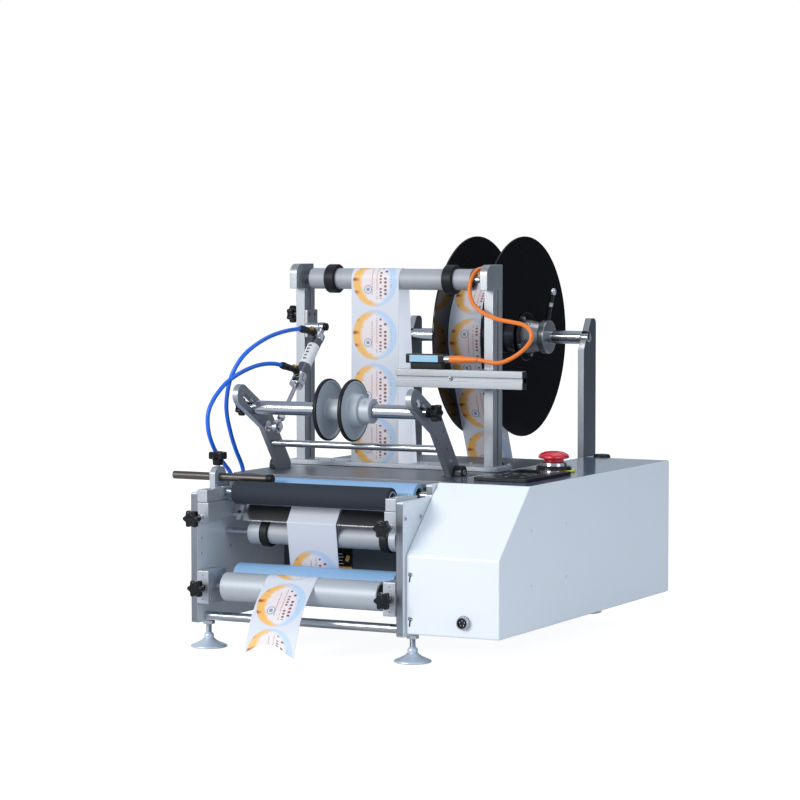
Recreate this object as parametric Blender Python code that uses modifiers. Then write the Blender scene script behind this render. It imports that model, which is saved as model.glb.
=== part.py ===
"""Bottle labelling machine, table-top, semi-automatic.

Two thick side plates carry the bottle rollers, the label web's rollers and the deck. A folded
casing on the right holds the motor and the controls. Two slotted uprights carry the top roller
and the label sensor, and two posts behind them carry the label reel. A press arm, moved by an
air cylinder, holds the bottle down with two wheels.

Frame of the drawing: X runs along the rollers from the left plate's outer face, Y runs back from
the plates' front edge, Z runs up from the plates' bottom edge. At the end everything is moved so
that the origin lies on the floor, under the middle of the whole machine.
"""
import math

import bmesh
import bpy
from mathutils import Matrix, Vector

MM = 0.001

# Gaps and resolution
GAP = 0.3 * MM              # left between two pieces that touch
FIT = 0.3 * MM              # radial clearance of a shaft in its hole
OVERRUN = 2 * MM            # how far a cutter runs past what it cuts
MERGE = 0.05 * MM
FINE_MERGE = 0.005 * MM     # for flat plates, whose round corners have short sides
SIDES_LARGE = 40
SIDES_MEDIUM = 24
SIDES_SMALL = 12
SIDES_NUT = 6
ARC_STEPS = 8
NOTCH_STEPS = 10
SLOT_STEPS = 6
CORNER_STEPS = 4
FOLD_STEPS = 2              # round a fold of the casing
EASED_ANGLE = math.radians(30)
SMOOTH_ANGLE = math.radians(35)
CORD_RESOLUTION = 2
CORD_SPACING_RADII = 5      # points along a cord, in its radii
LOBE_SIDES = 4              # around each lobe of a star knob

# Side plates
PLATE_THICK = 10 * MM
PLATE_SPAN = 301.5 * MM     # between the plates' inner faces
PLATE_LENGTH = 655 * MM
PLATE_FRONT_HEIGHT = 177 * MM
PLATE_STEP_Y = 86 * MM
PLATES_OUTER_X = 2 * PLATE_THICK + PLATE_SPAN      # of the right plate

# Deck
DECK_TOP = 195.5 * MM
DECK_THICK = 2 * MM
DECK_FRONT_Y = 113 * MM
DECK_BACK_Y = 512 * MM
DECK_LIP = 7 * MM
WEB_SLOT_LOW_X = 84 * MM
WEB_SLOT_HIGH_X = 186 * MM
WEB_SLOT_MARGIN = 6 * MM

# Casing on the right
CASING_WIDTH = 135.4 * MM
CASING_WALL = 1.5 * MM
CASING_FRONT_Y = 8 * MM
CASING_BACK_INSET = 71 * MM
CASING_BACK_Y = PLATE_LENGTH - CASING_BACK_INSET
CASING_BOTTOM = 4 * MM
CASING_KINK_Z = 107 * MM
CASING_SLANT_Y = 102 * MM
CASING_EDGE_ROUND = 3 * MM

# Controls on the casing
PANEL_INSET = 30.5 * MM     # from the right plate, as the next three
PANEL_LOW_X = PLATES_OUTER_X + PANEL_INSET
PANEL_WIDTH = 80 * MM
PANEL_FRONT_Y = 146 * MM
PANEL_DEPTH = 143 * MM
PANEL_THICK = 5.2 * MM
ESTOP_INSET = 66.5 * MM
ESTOP_X = PLATES_OUTER_X + ESTOP_INSET
ESTOP_Y = 328 * MM
ESTOP_RING_RADIUS = 30 * MM
ESTOP_RING_THICK = 2.4 * MM
ESTOP_STEM_RADIUS = 20 * MM
ESTOP_STEM_HEIGHT = 10.5 * MM
ESTOP_BORE_RADIUS = 11 * MM
ESTOP_CAP_RADIUS = 21.5 * MM
ESTOP_CAP_HEIGHT = 10.8 * MM
ESTOP_CAP_SHARES = ((1.0, 0.5), (0.8, 0.85), (0.4, 1.0), (0.1, 1.0), (0.0, 0.7))  # height, radius
ESTOP_TRAVEL = 4 * MM
SOCKET_INSET = 66.5 * MM
SOCKET_X = PLATES_OUTER_X + SOCKET_INSET
SOCKET_Z = 24 * MM
SOCKET_RADIUS = 9.5 * MM
SOCKET_BORE_RADIUS = 6.5 * MM
SOCKET_LENGTH = 7 * MM
SOCKET_BORE_DEPTH = 5 * MM
INLET_INSET = 98.5 * MM
INLET_X = PLATES_OUTER_X + INLET_INSET
INLET_Z = 60 * MM
INLET_WIDTH = 30 * MM
INLET_HEIGHT = 48 * MM
INLET_DEPTH = 4 * MM
INLET_HOLE_WIDTH = 22 * MM
INLET_HOLE_HEIGHT = 16 * MM
INLET_HOLE_DEPTH = 3 * MM

# Levelling feet
FOOT_FRONT_Y = 38 * MM
FOOT_BACK_INSET = 55 * MM
FOOT_BACK_Y = PLATE_LENGTH - FOOT_BACK_INSET
FOOT_HEIGHT = 37 * MM
FOOT_PAD_RADIUS = 25 * MM
FOOT_RIM_HEIGHT = 4 * MM
FOOT_CONE_HEIGHT = 12 * MM
FOOT_BALL_RADIUS = 7 * MM
FOOT_BALL_HEIGHT = 19 * MM
FOOT_STEM_RADIUS = 4 * MM
FOOT_NUT_RADIUS = 7.5 * MM
FOOT_NUT_HEIGHT = 5 * MM
FOOT_SEAT = 6 * MM

# Cross rods between the plates
TIE_ROD_RADIUS = 6 * MM
TIE_ROD_Y = 23 * MM
TIE_ROD_Z = 8 * MM
DROP_BAR_RADIUS = 8 * MM
DROP_BAR_Y = 271.5 * MM
DROP_BAR_Z = 150 * MM

# Rollers: axis place, radius, where the roller's body lies along X
FOAM_ROLLER_Y = 50 * MM
FOAM_ROLLER_Z = 175 * MM
FOAM_ROLLER_RADIUS = 15.5 * MM
FOAM_ROLLER_INSET = 31 * MM      # from the plate's inner face to the foam's end
BLUE_ROLLER_Y = 97 * MM
BLUE_ROLLER_Z = 177.5 * MM
BLUE_ROLLER_RADIUS = 15.5 * MM
BLUE_ROLLER_INSET = 16 * MM
GUIDE_ROLLER_Y = 79 * MM
GUIDE_ROLLER_Z = 118.5 * MM
GUIDE_ROLLER_RADIUS = 15 * MM
GUIDE_ROLLER_INSET = 34.5 * MM
GUIDE_COLLAR_RADIUS = 19 * MM
GUIDE_COLLAR_WIDTH = 17 * MM
GUIDE_COLLAR_INSET = 17 * MM     # from the roller's end to the collar
REAR_ROLLER_INSET = 59 * MM
REAR_ROLLER_Y = PLATE_LENGTH - REAR_ROLLER_INSET
REAR_ROLLER_Z = 132 * MM
RISE_ROLLER_Y = 327 * MM
RISE_ROLLER_Z = 150 * MM
HIDDEN_ROLLER_RADIUS = 15 * MM
HIDDEN_ROLLER_INSET = 20 * MM
DRIVE_ROLLER_RADIUS = 20 * MM
DRIVE_ROLLER_INSET = 26 * MM
PINCH_ROLLER_Y = 20 * MM
PINCH_ROLLER_Z = 49.8 * MM
PINCH_ROLLER_RADIUS = 19.5 * MM
PINCH_ROLLER_INSET = 30 * MM
NIP_ANGLE = math.radians(12)     # from the pinch roller's axis up to the drive roller's
ROLLER_SHAFT_RADIUS = 5 * MM
SHAFT_SEAT_DEPTH = 8 * MM
DRIVE_SHAFT_OUT = 14 * MM        # drive shaft past the right plate's outer face
ROLLER_EDGE = 1 * MM

# Bearing blocks of the front roller
BLOCK_WIDTH = 17 * MM
BLOCK_FRONT_Y = 0
BLOCK_LOW_Z = 138 * MM
BLOCK_STEP_Z = 163.7 * MM
BLOCK_TOP_Z = 181 * MM
BLOCK_LOW_LENGTH = 72 * MM
BLOCK_TOP_LENGTH = 62 * MM

# Peel plate
PEEL_FRONT_Y = 56 * MM
PEEL_FRONT_Z = 136.5 * MM
PEEL_BACK_Y = 70 * MM
PEEL_BACK_Z = 157 * MM
PEEL_THICK = 3 * MM
PEEL_INSET = 37 * MM
PEEL_EDGE_RADIUS = 1.2 * MM
PEEL_BAR_Y = 66 * MM
PEEL_BAR_Z = 143 * MM
PEEL_BAR_RADIUS = 4 * MM

# Pinch roller brackets
PINCH_BRACKET_WIDTH = 18 * MM
PINCH_BRACKET_FRONT_Y = -2 * MM
PINCH_BRACKET_LENGTH = 47 * MM
PINCH_BRACKET_LOW_Z = 27 * MM
PINCH_BRACKET_TOP_Z = 72 * MM

# Back panel
BACK_PANEL_Y = 236 * MM
BACK_PANEL_THICK = 2 * MM
BACK_PANEL_LOW_Z = 42 * MM
BACK_PANEL_TOP_Z = 128 * MM

# Star knobs
KNOB_RADIUS = 12.5 * MM
KNOB_LOBE_SHARE = 0.13
KNOB_LOBES = 6
KNOB_HEAD = 11 * MM
KNOB_NECK_RADIUS = 7 * MM
KNOB_NECK = 8 * MM
KNOB_STEM_RADIUS = 3 * MM
KNOB_STEM = 12 * MM
KNOB_SEAT = 4 * MM           # how deep the stem reaches into its block
KNOB_EDGE = 1.5 * MM
KNOB_GAP = 0.5 * MM
BLOCK_KNOB_X = 17 * MM       # from the left plate's outer face, mirrored on the right
BLOCK_KNOB_Z = 144 * MM
PINCH_KNOB_X = 19 * MM
PINCH_KNOB_Z = 49.5 * MM

# Bottle stop
STOP_ROD_Y = 63 * MM
STOP_ROD_RISE = 16.5 * MM
STOP_ROD_Z = PLATE_FRONT_HEIGHT + STOP_ROD_RISE
STOP_ROD_RADIUS = 5.5 * MM
STOP_ROD_OUT = 65 * MM
STOP_ROD_IN = 92 * MM
STOP_TIP_RADIUS = 6.2 * MM
STOP_TIP_LENGTH = 9 * MM
STOP_CLAMP_INSET = 0.7 * MM
STOP_CLAMP_LENGTH = 30 * MM
STOP_CLAMP_HEIGHT = 30 * MM

# Uprights, foot bar, top blocks
UPRIGHT_WIDTH = 14 * MM
UPRIGHT_DEPTH = 30 * MM
UPRIGHT_INSET = 5 * MM       # from the plate's outer face
UPRIGHT_FRONT_Y = 282 * MM
UPRIGHT_TOP = 447 * MM
SLOT_MOUTH = 8 * MM
SLOT_DEPTH = 4 * MM
FOOT_BAR_OVERHANG = 6 * MM
FOOT_BAR_FRONT = 10 * MM
FOOT_BAR_BACK = 10 * MM
FOOT_BAR_THICK = 6.5 * MM
TOP_BLOCK_WIDTH = 11.5 * MM
TOP_BLOCK_FRONT_Y = 263 * MM
TOP_BLOCK_LENGTH = 50 * MM
TOP_BLOCK_HEIGHT = 34.5 * MM
TOP_BLOCK_ROUND = 14 * MM

# Top roller
TOP_ROLLER_Y = 297 * MM
TOP_ROLLER_Z = 460.5 * MM
TOP_ROLLER_RADIUS = 14.75 * MM
TOP_ROLLER_LEFT = 25 * MM
TOP_ROLLER_RIGHT = 280 * MM
TOP_COLLAR_RADIUS = 20.5 * MM
TOP_COLLAR_WIDTH = 17 * MM
TOP_COLLAR_INSET = 26 * MM

# Reel
REEL_INSET = 30 * MM
REEL_Y = PLATE_LENGTH - REEL_INSET
REEL_Z = 369.5 * MM
REEL_DISC_RADIUS = 150 * MM
REEL_DISC_THICK = 2.6 * MM
REEL_ROLL_LEFT = 127.7 * MM
REEL_ROLL_WIDTH = 75.4 * MM
REEL_ROLL_RADIUS = 102 * MM
REEL_CORE_RADIUS = 38 * MM
REEL_SHAFT_RADIUS = 10 * MM
REEL_NECK_RADIUS = 7 * MM
REEL_COLLAR_RADIUS = 14 * MM
REEL_COLLAR_WIDTH = 12 * MM
HUB_RADIUS = 21 * MM
HUB_FLANGE_RADIUS = 36 * MM
HUB_FLANGE_THICK = 3 * MM
HUB_LENGTH = 30 * MM
HUB_TAPER = 6 * MM
HUB_CLAMP_RADIUS = 25 * MM
HUB_CLAMP_WIDTH = 11 * MM
LEVER_LENGTH = 43 * MM
LEVER_GRIP_RADIUS = 3.6 * MM
LEVER_ROOT_RADIUS = 4 * MM
LEVER_ROOT = 15 * MM
LEVER_SEAT = 5 * MM
LEVER_KNOB_RADIUS = 5 * MM
LEVER_LEAN = math.radians(12)
POST_THICK = 10 * MM
POST_FRONT_INSET = 50 * MM
POST_FRONT_Y = PLATE_LENGTH - POST_FRONT_INSET
POST_DEPTH = 45 * MM
POST_LOW_Z = 60 * MM
POST_TOP_Z = 398 * MM
POST_SLANT_Z = 352 * MM
POST_SLANT_INSET = 23 * MM
POST_SLANT_Y = PLATE_LENGTH - POST_SLANT_INSET
POST_TOP_ROUND = 8 * MM

# Press arm
ARM_THICK = 8.5 * MM
ARM_LEFT_OUTER_X = 24 * MM
ARM_HALF_WIDTH = 14.5 * MM
ARM_TIP_Y = 84.5 * MM
ARM_TIP_Z = 305 * MM
ARM_ELBOW_Y = 152.1 * MM
ARM_ELBOW_Z = 267.3 * MM
ARM_PIVOT_Y = 203 * MM
ARM_PIVOT_Z = 200 * MM
ARM_PIN_RADIUS = 4 * MM
ARM_SLOT_WIDTH = 10 * MM
ARM_SLOT_START_SHARE = 0.1   # along the upper branch, from its tip
PRESS_SHAFT_SHARE = 0.5      # place of the press shaft along the upper branch
PRESS_SHAFT_RADIUS = 9.6 * MM
PRESS_NECK_RADIUS = 4.6 * MM
CROSS_ROD_Y = 166 * MM
CROSS_ROD_Z = 234 * MM
CROSS_ROD_RADIUS = 5 * MM
PIVOT_BLOCK_WIDTH = 13 * MM
PIVOT_BLOCK_RADIUS = 9.5 * MM
ARM_SLOT_MARGIN = 3 * MM
ARM_SWING_DOWN = math.radians(20)    # how far the arm swings down to the bottle

# Press wheels
WHEEL_RADIUS = 42.5 * MM
WHEEL_THICK = 6 * MM
WHEEL_LEFT_X = 147.4 * MM
WHEEL_RIGHT_X = 185.4 * MM
WHEEL_DISH = 2.5 * MM
WHEEL_HUB_RADIUS = 15 * MM
WHEEL_CONE_RADIUS = 24 * MM
WHEEL_CONE_LENGTH = 12 * MM
WHEEL_NOSE_RADIUS = 17 * MM
WHEEL_NOSE_X = 216.8 * MM
WHEEL_LEFT_NOSE = 5 * MM
WHEEL_RIM = 4.5 * MM

# Air cylinder
CYL_X = 48 * MM
CYL_REAR_Y = 282 * MM
CYL_REAR_Z = 392 * MM
CYL_PIN_Y = 151 * MM
CYL_PIN_Z = 258 * MM
CYL_RADIUS = 8.8 * MM
CYL_CAP_RADIUS = 9.6 * MM
CYL_START = 15 * MM
CYL_CAP_LENGTH = 12 * MM
CYL_END = 103 * MM
CYL_NUT_RADIUS = 11 * MM
CYL_NUT = 9 * MM
CYL_BORE = 40 * MM
CYL_NECK_RADIUS = 5 * MM
CYL_EYE_RADIUS = 6.5 * MM
CYL_EYE_WIDTH = 7 * MM
CYL_PIN_RADIUS = 3 * MM
ROD_RADIUS = 3 * MM
ROD_INSIDE = 22 * MM         # how deep the rod starts inside the barrel
ROD_NUT_RADIUS = 5 * MM
ROD_NUT = 7 * MM
ROD_NUT_GAP = 1.5 * MM
ROD_EYE_RADIUS = 9.4 * MM
ROD_EYE_BORE = 6.8 * MM      # wide, because the closed linkage is opened here
STUD_RADIUS = 4 * MM
STUD_HEAD_RADIUS = 8 * MM
STUD_HEAD = 3 * MM
FITTING_STEM_RADIUS = 3.6 * MM
FITTING_STEM = 9 * MM
FITTING_RADIUS = 5.2 * MM
FITTING_REACH = 0.5 * MM     # the fitting's body past its stem's end
FITTING_PLACES = (24 * MM, 96 * MM)
BRACKET_PLATE_THICK = 4 * MM
BRACKET_PLATE_HALF = 16 * MM
BRACKET_ARM_HALF = 6 * MM
BRACKET_NUT_RADIUS = 5.5 * MM
BRACKET_NUT = 4 * MM
BRACKET_KNOB_Z = 402 * MM

# Air tubes: routes in millimetres, chosen by hand, from the fitting to the elbow on the left plate
TUBE_RADIUS = 3 * MM
CORD_GAP = 0.8 * MM          # left between a cord's end and what it runs into
UPPER_TUBE_ROUTE = (
    (40, 231, 391), (38, 197, 389), (34, 165, 384), (29, 140, 376), (23, 121, 366), (17, 109, 355),
    (11, 103, 343), (6, 100, 331), (2, 99, 319), (-2, 100, 303), (-5, 103, 287), (-7, 109, 271),
    (-8, 117, 255), (-9, 127, 238), (-9, 137, 222), (-9, 147, 209), (-9, 154, 197), (-9, 157, 184),
    (-9, 158, 177), (-9, 158, 171))
LOWER_TUBE_ROUTE = (
    (40, 177, 342), (36, 166, 344), (31, 154, 344.5), (25, 140, 343), (19, 125, 339), (14.6, 106, 333),
    (9.6, 92, 326), (5, 83, 319), (1, 76, 311), (-3, 71, 303), (-6, 66, 294), (-8, 62, 285),
    (-9, 60, 275), (-9, 60, 264), (-9, 63, 252), (-9, 69, 241), (-9, 78, 229), (-9, 90, 218),
    (-9, 104, 207), (-9, 118, 196), (-9, 126.5, 184), (-9, 128, 177), (-9, 128, 171))
ELBOW_SIZE = 12 * MM
ELBOW_HEIGHT = 14 * MM

# Air supply
VALVE_Y = 118 * MM
VALVE_Z = 150 * MM
VALVE_WIDTH = 22 * MM
VALVE_LENGTH = 52 * MM
VALVE_HEIGHT = 28 * MM
REGULATOR_INSET = 20 * MM
REGULATOR_X = PLATES_OUTER_X + REGULATOR_INSET
REGULATOR_Z = 150 * MM
REGULATOR_SIZE = 38 * MM
REGULATOR_BOWL_RADIUS = 15 * MM
REGULATOR_BOWL = 40 * MM
REGULATOR_KNOB_RADIUS = 13 * MM
REGULATOR_KNOB = 30 * MM

# Sensor bar, sensor and its cable
BAR_FRONT_Y = 250 * MM
BAR_DEPTH = 12 * MM
BAR_LOW_Z = 312 * MM
BAR_HEIGHT = 25 * MM
BAR_LEFT_X = 181.5 * MM
BAR_REACH = 55.5 * MM       # beyond the right plate
BAR_RIGHT_X = PLATES_OUTER_X + BAR_REACH
BAR_SLOT_DEPTH = 3 * MM
BAR_SLOT_MOUTH = 6 * MM
BAR_CLAMP_WIDTH = 26 * MM
SENSOR_LEFT_X = 197 * MM
SENSOR_LENGTH = 60 * MM
SENSOR_DEPTH = 12 * MM
SENSOR_HEIGHT = 13 * MM
SENSOR_BASE = 8 * MM
PLUG_RADIUS = 5.2 * MM
PLUG_SLEEVE_RADIUS = 4.6 * MM
PLUG_SLEEVE = 8 * MM
CABLE_RADIUS = 2.9 * MM
CABLE_ROUTE = (
    (308, 252, 351.5), (320, 251, 350), (334, 249, 348), (349, 247, 350), (366, 245, 357.5),
    (380, 244, 367), (389.5, 243, 377), (392.5, 243, 384.5), (391, 244, 391), (385, 247, 397),
    (374, 251, 401.5), (357, 256, 404), (338, 261, 406.5), (321, 266, 410.5), (306, 270, 416),
    (294, 272, 424), (287, 272, 435), (284.5, 273, 447), (285, 276, 459), (287, 282, 469),
    (290, 291, 475), (294, 302, 476), (299, 312, 470), (303, 318, 459), (306, 320, 445),
    (308, 320, 425), (309, 320, 400), (309, 320, 370), (309, 320, 340), (309, 320, 310),
    (309, 320, 280), (309, 320, 250), (309, 320, 225), (309, 320, 205))

# Label web: X of its left edge where it leaves the reel, at the top roller and at the front
WEB_WIDTH = 75 * MM
WEB_THICK = 0.4 * MM
WEB_REEL_X = 127.9 * MM
WEB_TOP_X = 95 * MM
WEB_FRONT_X = 112 * MM
WEB_TAIL_X = 111 * MM
WEB_TAIL_Y = -56 * MM
WEB_TAIL_Z = -27 * MM
WEB_STEP = math.radians(12)
WEB_TAIL_STEPS = 8
WEB_TAIL_SAG = 9 * MM

# Motor and electronics inside the casing
MOTOR_SIZE = 60 * MM
GEARBOX_LENGTH = 32 * MM
MOTOR_LENGTH = 62 * MM
MOTOR_RADIUS = 28 * MM
TRAY_INSET = 18.5 * MM
TRAY_LOW_X = PLATES_OUTER_X + TRAY_INSET
TRAY_REACH = 384 * MM       # forward from the casing's back
TRAY_FRONT_Y = CASING_BACK_Y - TRAY_REACH
TRAY_SIZE = (98 * MM, 340 * MM, 2 * MM)
SUPPLY_OFFSET = 170 * MM
SUPPLY_SIZE = (97 * MM, 160 * MM, 40 * MM)
SINK_OFFSET = 15 * MM
HEATSINK_SIZE = (40 * MM, 60 * MM, 22 * MM)

# Places that several pieces share
MID_X = PLATE_THICK + PLATE_SPAN / 2
RIGHT_INNER_X = PLATE_THICK + PLATE_SPAN
RIGHT_OUTER_X = RIGHT_INNER_X + PLATE_THICK
PLATE_TOP = DECK_TOP - DECK_THICK - GAP
CASING_LEFT_X = RIGHT_OUTER_X + GAP
CASING_RIGHT_X = CASING_LEFT_X + CASING_WIDTH
FOOT_BAR_TOP = DECK_TOP + GAP + FOOT_BAR_THICK
UPRIGHT_BACK_Y = UPRIGHT_FRONT_Y + UPRIGHT_DEPTH
WEB_OFFSET = GAP + WEB_THICK / 2
NIP_DISTANCE = DRIVE_ROLLER_RADIUS + PINCH_ROLLER_RADIUS + 2 * WEB_OFFSET + GAP / 2
DRIVE_ROLLER_Y = PINCH_ROLLER_Y + math.cos(NIP_ANGLE) * NIP_DISTANCE
DRIVE_ROLLER_Z = PINCH_ROLLER_Z + math.sin(NIP_ANGLE) * NIP_DISTANCE
ARM_LEFT_INNER_X = ARM_LEFT_OUTER_X + ARM_THICK
ARM_RIGHT_INNER_X = 2 * MID_X - ARM_LEFT_INNER_X
PRESS_Y = ARM_TIP_Y + (ARM_ELBOW_Y - ARM_TIP_Y) * PRESS_SHAFT_SHARE
PRESS_Z = ARM_TIP_Z + (ARM_ELBOW_Z - ARM_TIP_Z) * PRESS_SHAFT_SHARE
TURN_X = (0, math.pi / 2, 0)             # a turned shape's axis along +X
TURN_FRONT = (math.pi / 2, 0, 0)         # along -Y
TURN_LEFT = (0, -math.pi / 2, 0)         # along -X
TURN_YZ = (math.pi / 2, 0, math.pi / 2)  # a flat outline drawn in Y and Z, thick along X

# Colours, roughness and metallic values
WHITE_PAINT = ((0.86, 0.89, 0.93), 0.3, 0.0)
ALUMINIUM = ((0.62, 0.65, 0.70), 0.38, 0.9)
STEEL = ((0.55, 0.57, 0.60), 0.3, 1.0)
CHROME = ((0.72, 0.73, 0.76), 0.12, 1.0)
DARK_STEEL = ((0.16, 0.15, 0.15), 0.35, 0.8)
BLACK_PLASTIC = ((0.02, 0.022, 0.026), 0.4, 0.0)
BLACK_GLOSS = ((0.01, 0.01, 0.014), 0.15, 0.0)
CHARCOAL_FOAM = ((0.05, 0.06, 0.075), 0.85, 0.0)
BLUE_RUBBER = ((0.33, 0.56, 0.82), 0.6, 0.0)
BLUE_TUBE = ((0.02, 0.16, 0.75), 0.3, 0.0)
ORANGE_CABLE = ((0.9, 0.27, 0.04), 0.45, 0.0)
PAPER = ((0.88, 0.88, 0.9), 0.5, 0.0)
RED_PLASTIC = ((0.75, 0.02, 0.05), 0.3, 0.0)
YELLOW_PLASTIC = ((0.85, 0.85, 0.08), 0.4, 0.0)
GREEN_BOARD = ((0.02, 0.2, 0.09), 0.5, 0.0)


# Set-up of the scene
def clear_scene():
    for item in list(bpy.data.objects):
        bpy.data.objects.remove(item, do_unlink=True)


def collection(name):
    made = bpy.data.collections.new(name)
    bpy.context.scene.collection.children.link(made)
    return made


clear_scene()
PARTS = collection("bottle_labelling_machine")
CUTTERS = collection("cutters")
ORIGIN = bpy.data.objects.new("machine_origin", None)
PARTS.objects.link(ORIGIN)


def material(name, look):
    colour, roughness, metallic = look
    made = bpy.data.materials.new(name)
    made.use_nodes = True
    shader = made.node_tree.nodes["Principled BSDF"]
    shader.inputs["Base Color"].default_value = (*colour, 1)
    shader.inputs["Roughness"].default_value = roughness
    shader.inputs["Metallic"].default_value = metallic
    return made


# Builders
def place_object(name, mesh, look, place=(0, 0, 0), turn=(0, 0, 0)):
    """A named sub-part with its own material, hung on the machine's origin."""
    mesh.name = name
    mesh.materials.clear()
    mesh.materials.append(material(name, look))
    made = bpy.data.objects.new(name, mesh)
    made.location = place
    made.rotation_euler = turn
    made.parent = ORIGIN
    PARTS.objects.link(made)
    return made


def helper_object(name, mesh, place=(0, 0, 0), turn=(0, 0, 0)):
    """A shape that only cuts, or is joined to, a sub-part."""
    made = bpy.data.objects.new(name, mesh)
    made.location = place
    made.rotation_euler = turn
    made.parent = ORIGIN
    made.hide_render = True
    made.display_type = "WIRE"
    CUTTERS.objects.link(made)
    return made


def helper_shape(name, bm, place=(0, 0, 0), turn=(0, 0, 0)):
    mesh = bpy.data.meshes.new(name)
    bm.to_mesh(mesh)
    bm.free()
    return helper_object(name, mesh, place, turn)


def smooth_by_angle(mesh):
    mesh.shade_smooth()
    mesh.set_sharp_from_angle(angle=SMOOTH_ANGLE)


def add_box(bm, low, high):
    size = Vector(high) - Vector(low)
    middle = (Vector(high) + Vector(low)) / 2
    bmesh.ops.create_cube(bm, size=1, matrix=Matrix.Translation(middle) @ Matrix.Diagonal((*size, 1)))


def add_rod(bm, start, end, radius, sides=SIDES_SMALL):
    start = Vector(start)
    end = Vector(end)
    run = end - start
    turn = run.to_track_quat("Z", "Y").to_matrix().to_4x4()
    bmesh.ops.create_cone(
        bm, cap_ends=True, segments=sides, radius1=radius, radius2=radius, depth=run.length,
        matrix=Matrix.Translation((start + end) / 2) @ turn)


def from_bmesh(name, bm, look, place=(0, 0, 0), turn=(0, 0, 0)):
    mesh = bpy.data.meshes.new(name)
    bm.to_mesh(mesh)
    bm.free()
    smooth_by_angle(mesh)
    return place_object(name, mesh, look, place, turn)


def box(name, low, high, look):
    """A block, its origin at its middle."""
    middle = (Vector(high) + Vector(low)) / 2
    bm = bmesh.new()
    add_box(bm, Vector(low) - middle, Vector(high) - middle)
    return from_bmesh(name, bm, look, middle)


def ease(target, width, segments):
    bevel = target.modifiers.new("eased_edges", "BEVEL")
    bevel.width = width
    bevel.segments = segments
    bevel.limit_method = "ANGLE"
    bevel.angle_limit = EASED_ANGLE


def screw(target, sides):
    turned = target.modifiers.new("turned", "SCREW")
    turned.axis = "Z"
    turned.steps = sides
    turned.render_steps = sides
    turned.use_merge_vertices = True
    turned.merge_threshold = MERGE
    turned.use_smooth_shade = True


def profile_mesh(name, profile, ring=False):
    """A turned shape's profile, listed as (height, radius) down its outer side, top to bottom."""
    points = [(radius, 0, height) for height, radius in profile]
    if not ring:
        points = [(0, 0, profile[0][0])] + points + [(0, 0, profile[-1][0])]
    edges = [(i, i + 1) for i in range(len(points) - 1)]
    if ring:
        edges.append((len(points) - 1, 0))
    mesh = bpy.data.meshes.new(name)
    mesh.from_pydata(points, edges, [])
    return mesh


def turned(name, profile, look, place, turn=TURN_X, sides=SIDES_MEDIUM, ring=False):
    made = place_object(name, profile_mesh(name, profile, ring), look, place, turn)
    screw(made, sides)
    return made


def join_turned(target, name, profile, place, turn=(0, 0, 0), sides=SIDES_SMALL):
    made = helper_object(name, profile_mesh(name, profile), place, turn)
    screw(made, sides)
    boolean(target, made, "UNION")


def tube_ring(low, high, inner, outer):
    """The closed profile of a plain ring."""
    return [(high, outer), (low, outer), (low, inner), (high, inner)]


def outline_curve(name, loops, thick):
    curve = bpy.data.curves.new(name, "CURVE")
    curve.dimensions = "2D"
    curve.fill_mode = "BOTH"
    curve.extrude = thick / 2
    for loop in loops:
        spline = curve.splines.new("POLY")
        spline.points.add(len(loop) - 1)
        for point, (u, v) in zip(spline.points, loop):
            point.co = (u, v, 0, 1)
        spline.use_cyclic_u = True
    return curve


def flat_mesh(name, loops, thick):
    """A flat plate from closed loops, the first its outline, the others holes through it."""
    guide = bpy.data.objects.new(name + "_guide", outline_curve(name, loops, thick))
    PARTS.objects.link(guide)
    bpy.context.view_layer.update()
    mesh = bpy.data.meshes.new_from_object(guide.evaluated_get(bpy.context.evaluated_depsgraph_get()))
    bpy.data.objects.remove(guide, do_unlink=True)
    bm = bmesh.new()
    bm.from_mesh(mesh)
    bmesh.ops.remove_doubles(bm, verts=bm.verts, dist=FINE_MERGE)
    bm.to_mesh(mesh)
    bm.free()
    smooth_by_angle(mesh)
    return mesh


def outline(name, loops, thick, look, place, turn=TURN_YZ):
    return place_object(name, flat_mesh(name, loops, thick), look, place, turn)


def cord(name, route, radius, look):
    """A tube along a route in millimetres, smoothed into one curve."""
    points = [Vector(point) * MM for point in route]
    smooth = smooth_route(points, radius * CORD_SPACING_RADII)
    curve = bpy.data.curves.new(name, "CURVE")
    curve.dimensions = "3D"
    curve.bevel_depth = radius
    curve.bevel_resolution = CORD_RESOLUTION
    curve.use_fill_caps = True
    spline = curve.splines.new("POLY")
    spline.points.add(len(smooth) - 1)
    for point, place in zip(spline.points, smooth):
        point.co = (*place, 1)
    curve.materials.append(material(name, look))
    made = bpy.data.objects.new(name, curve)
    made.parent = ORIGIN
    PARTS.objects.link(made)
    return made


def smooth_route(points, spacing):
    """Points about a spacing apart on the smooth curve through the route's points."""
    dense = []
    last = len(points) - 1
    for i in range(last):
        before = points[max(i - 1, 0)]
        after = points[min(i + 2, last)]
        for step in range(ARC_STEPS):
            t = step / ARC_STEPS
            dense.append(catmull_rom(before, points[i], points[i + 1], after, t))
    dense.append(points[last])
    lengths = [0.0]
    for a, b in zip(dense, dense[1:]):
        lengths.append(lengths[-1] + (b - a).length)
    count = max(2, round(lengths[-1] / spacing))
    picked = []
    j = 0
    for k in range(count + 1):
        goal = lengths[-1] * k / count
        while j < len(lengths) - 2 and lengths[j + 1] < goal:
            j += 1
        share = (goal - lengths[j]) / (lengths[j + 1] - lengths[j])
        picked.append(dense[j].lerp(dense[j + 1], share))
    return picked


def catmull_rom(a, b, c, d, t):
    return 0.5 * ((2 * b) + (c - a) * t + (2 * a - 5 * b + 4 * c - d) * t * t
                  + (3 * b - a - 3 * c + d) * t * t * t)


def boolean(target, other, operation="DIFFERENCE"):
    cut = target.modifiers.new(other.name, "BOOLEAN")
    cut.operation = operation
    cut.solver = "EXACT"
    cut.object = other


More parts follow.
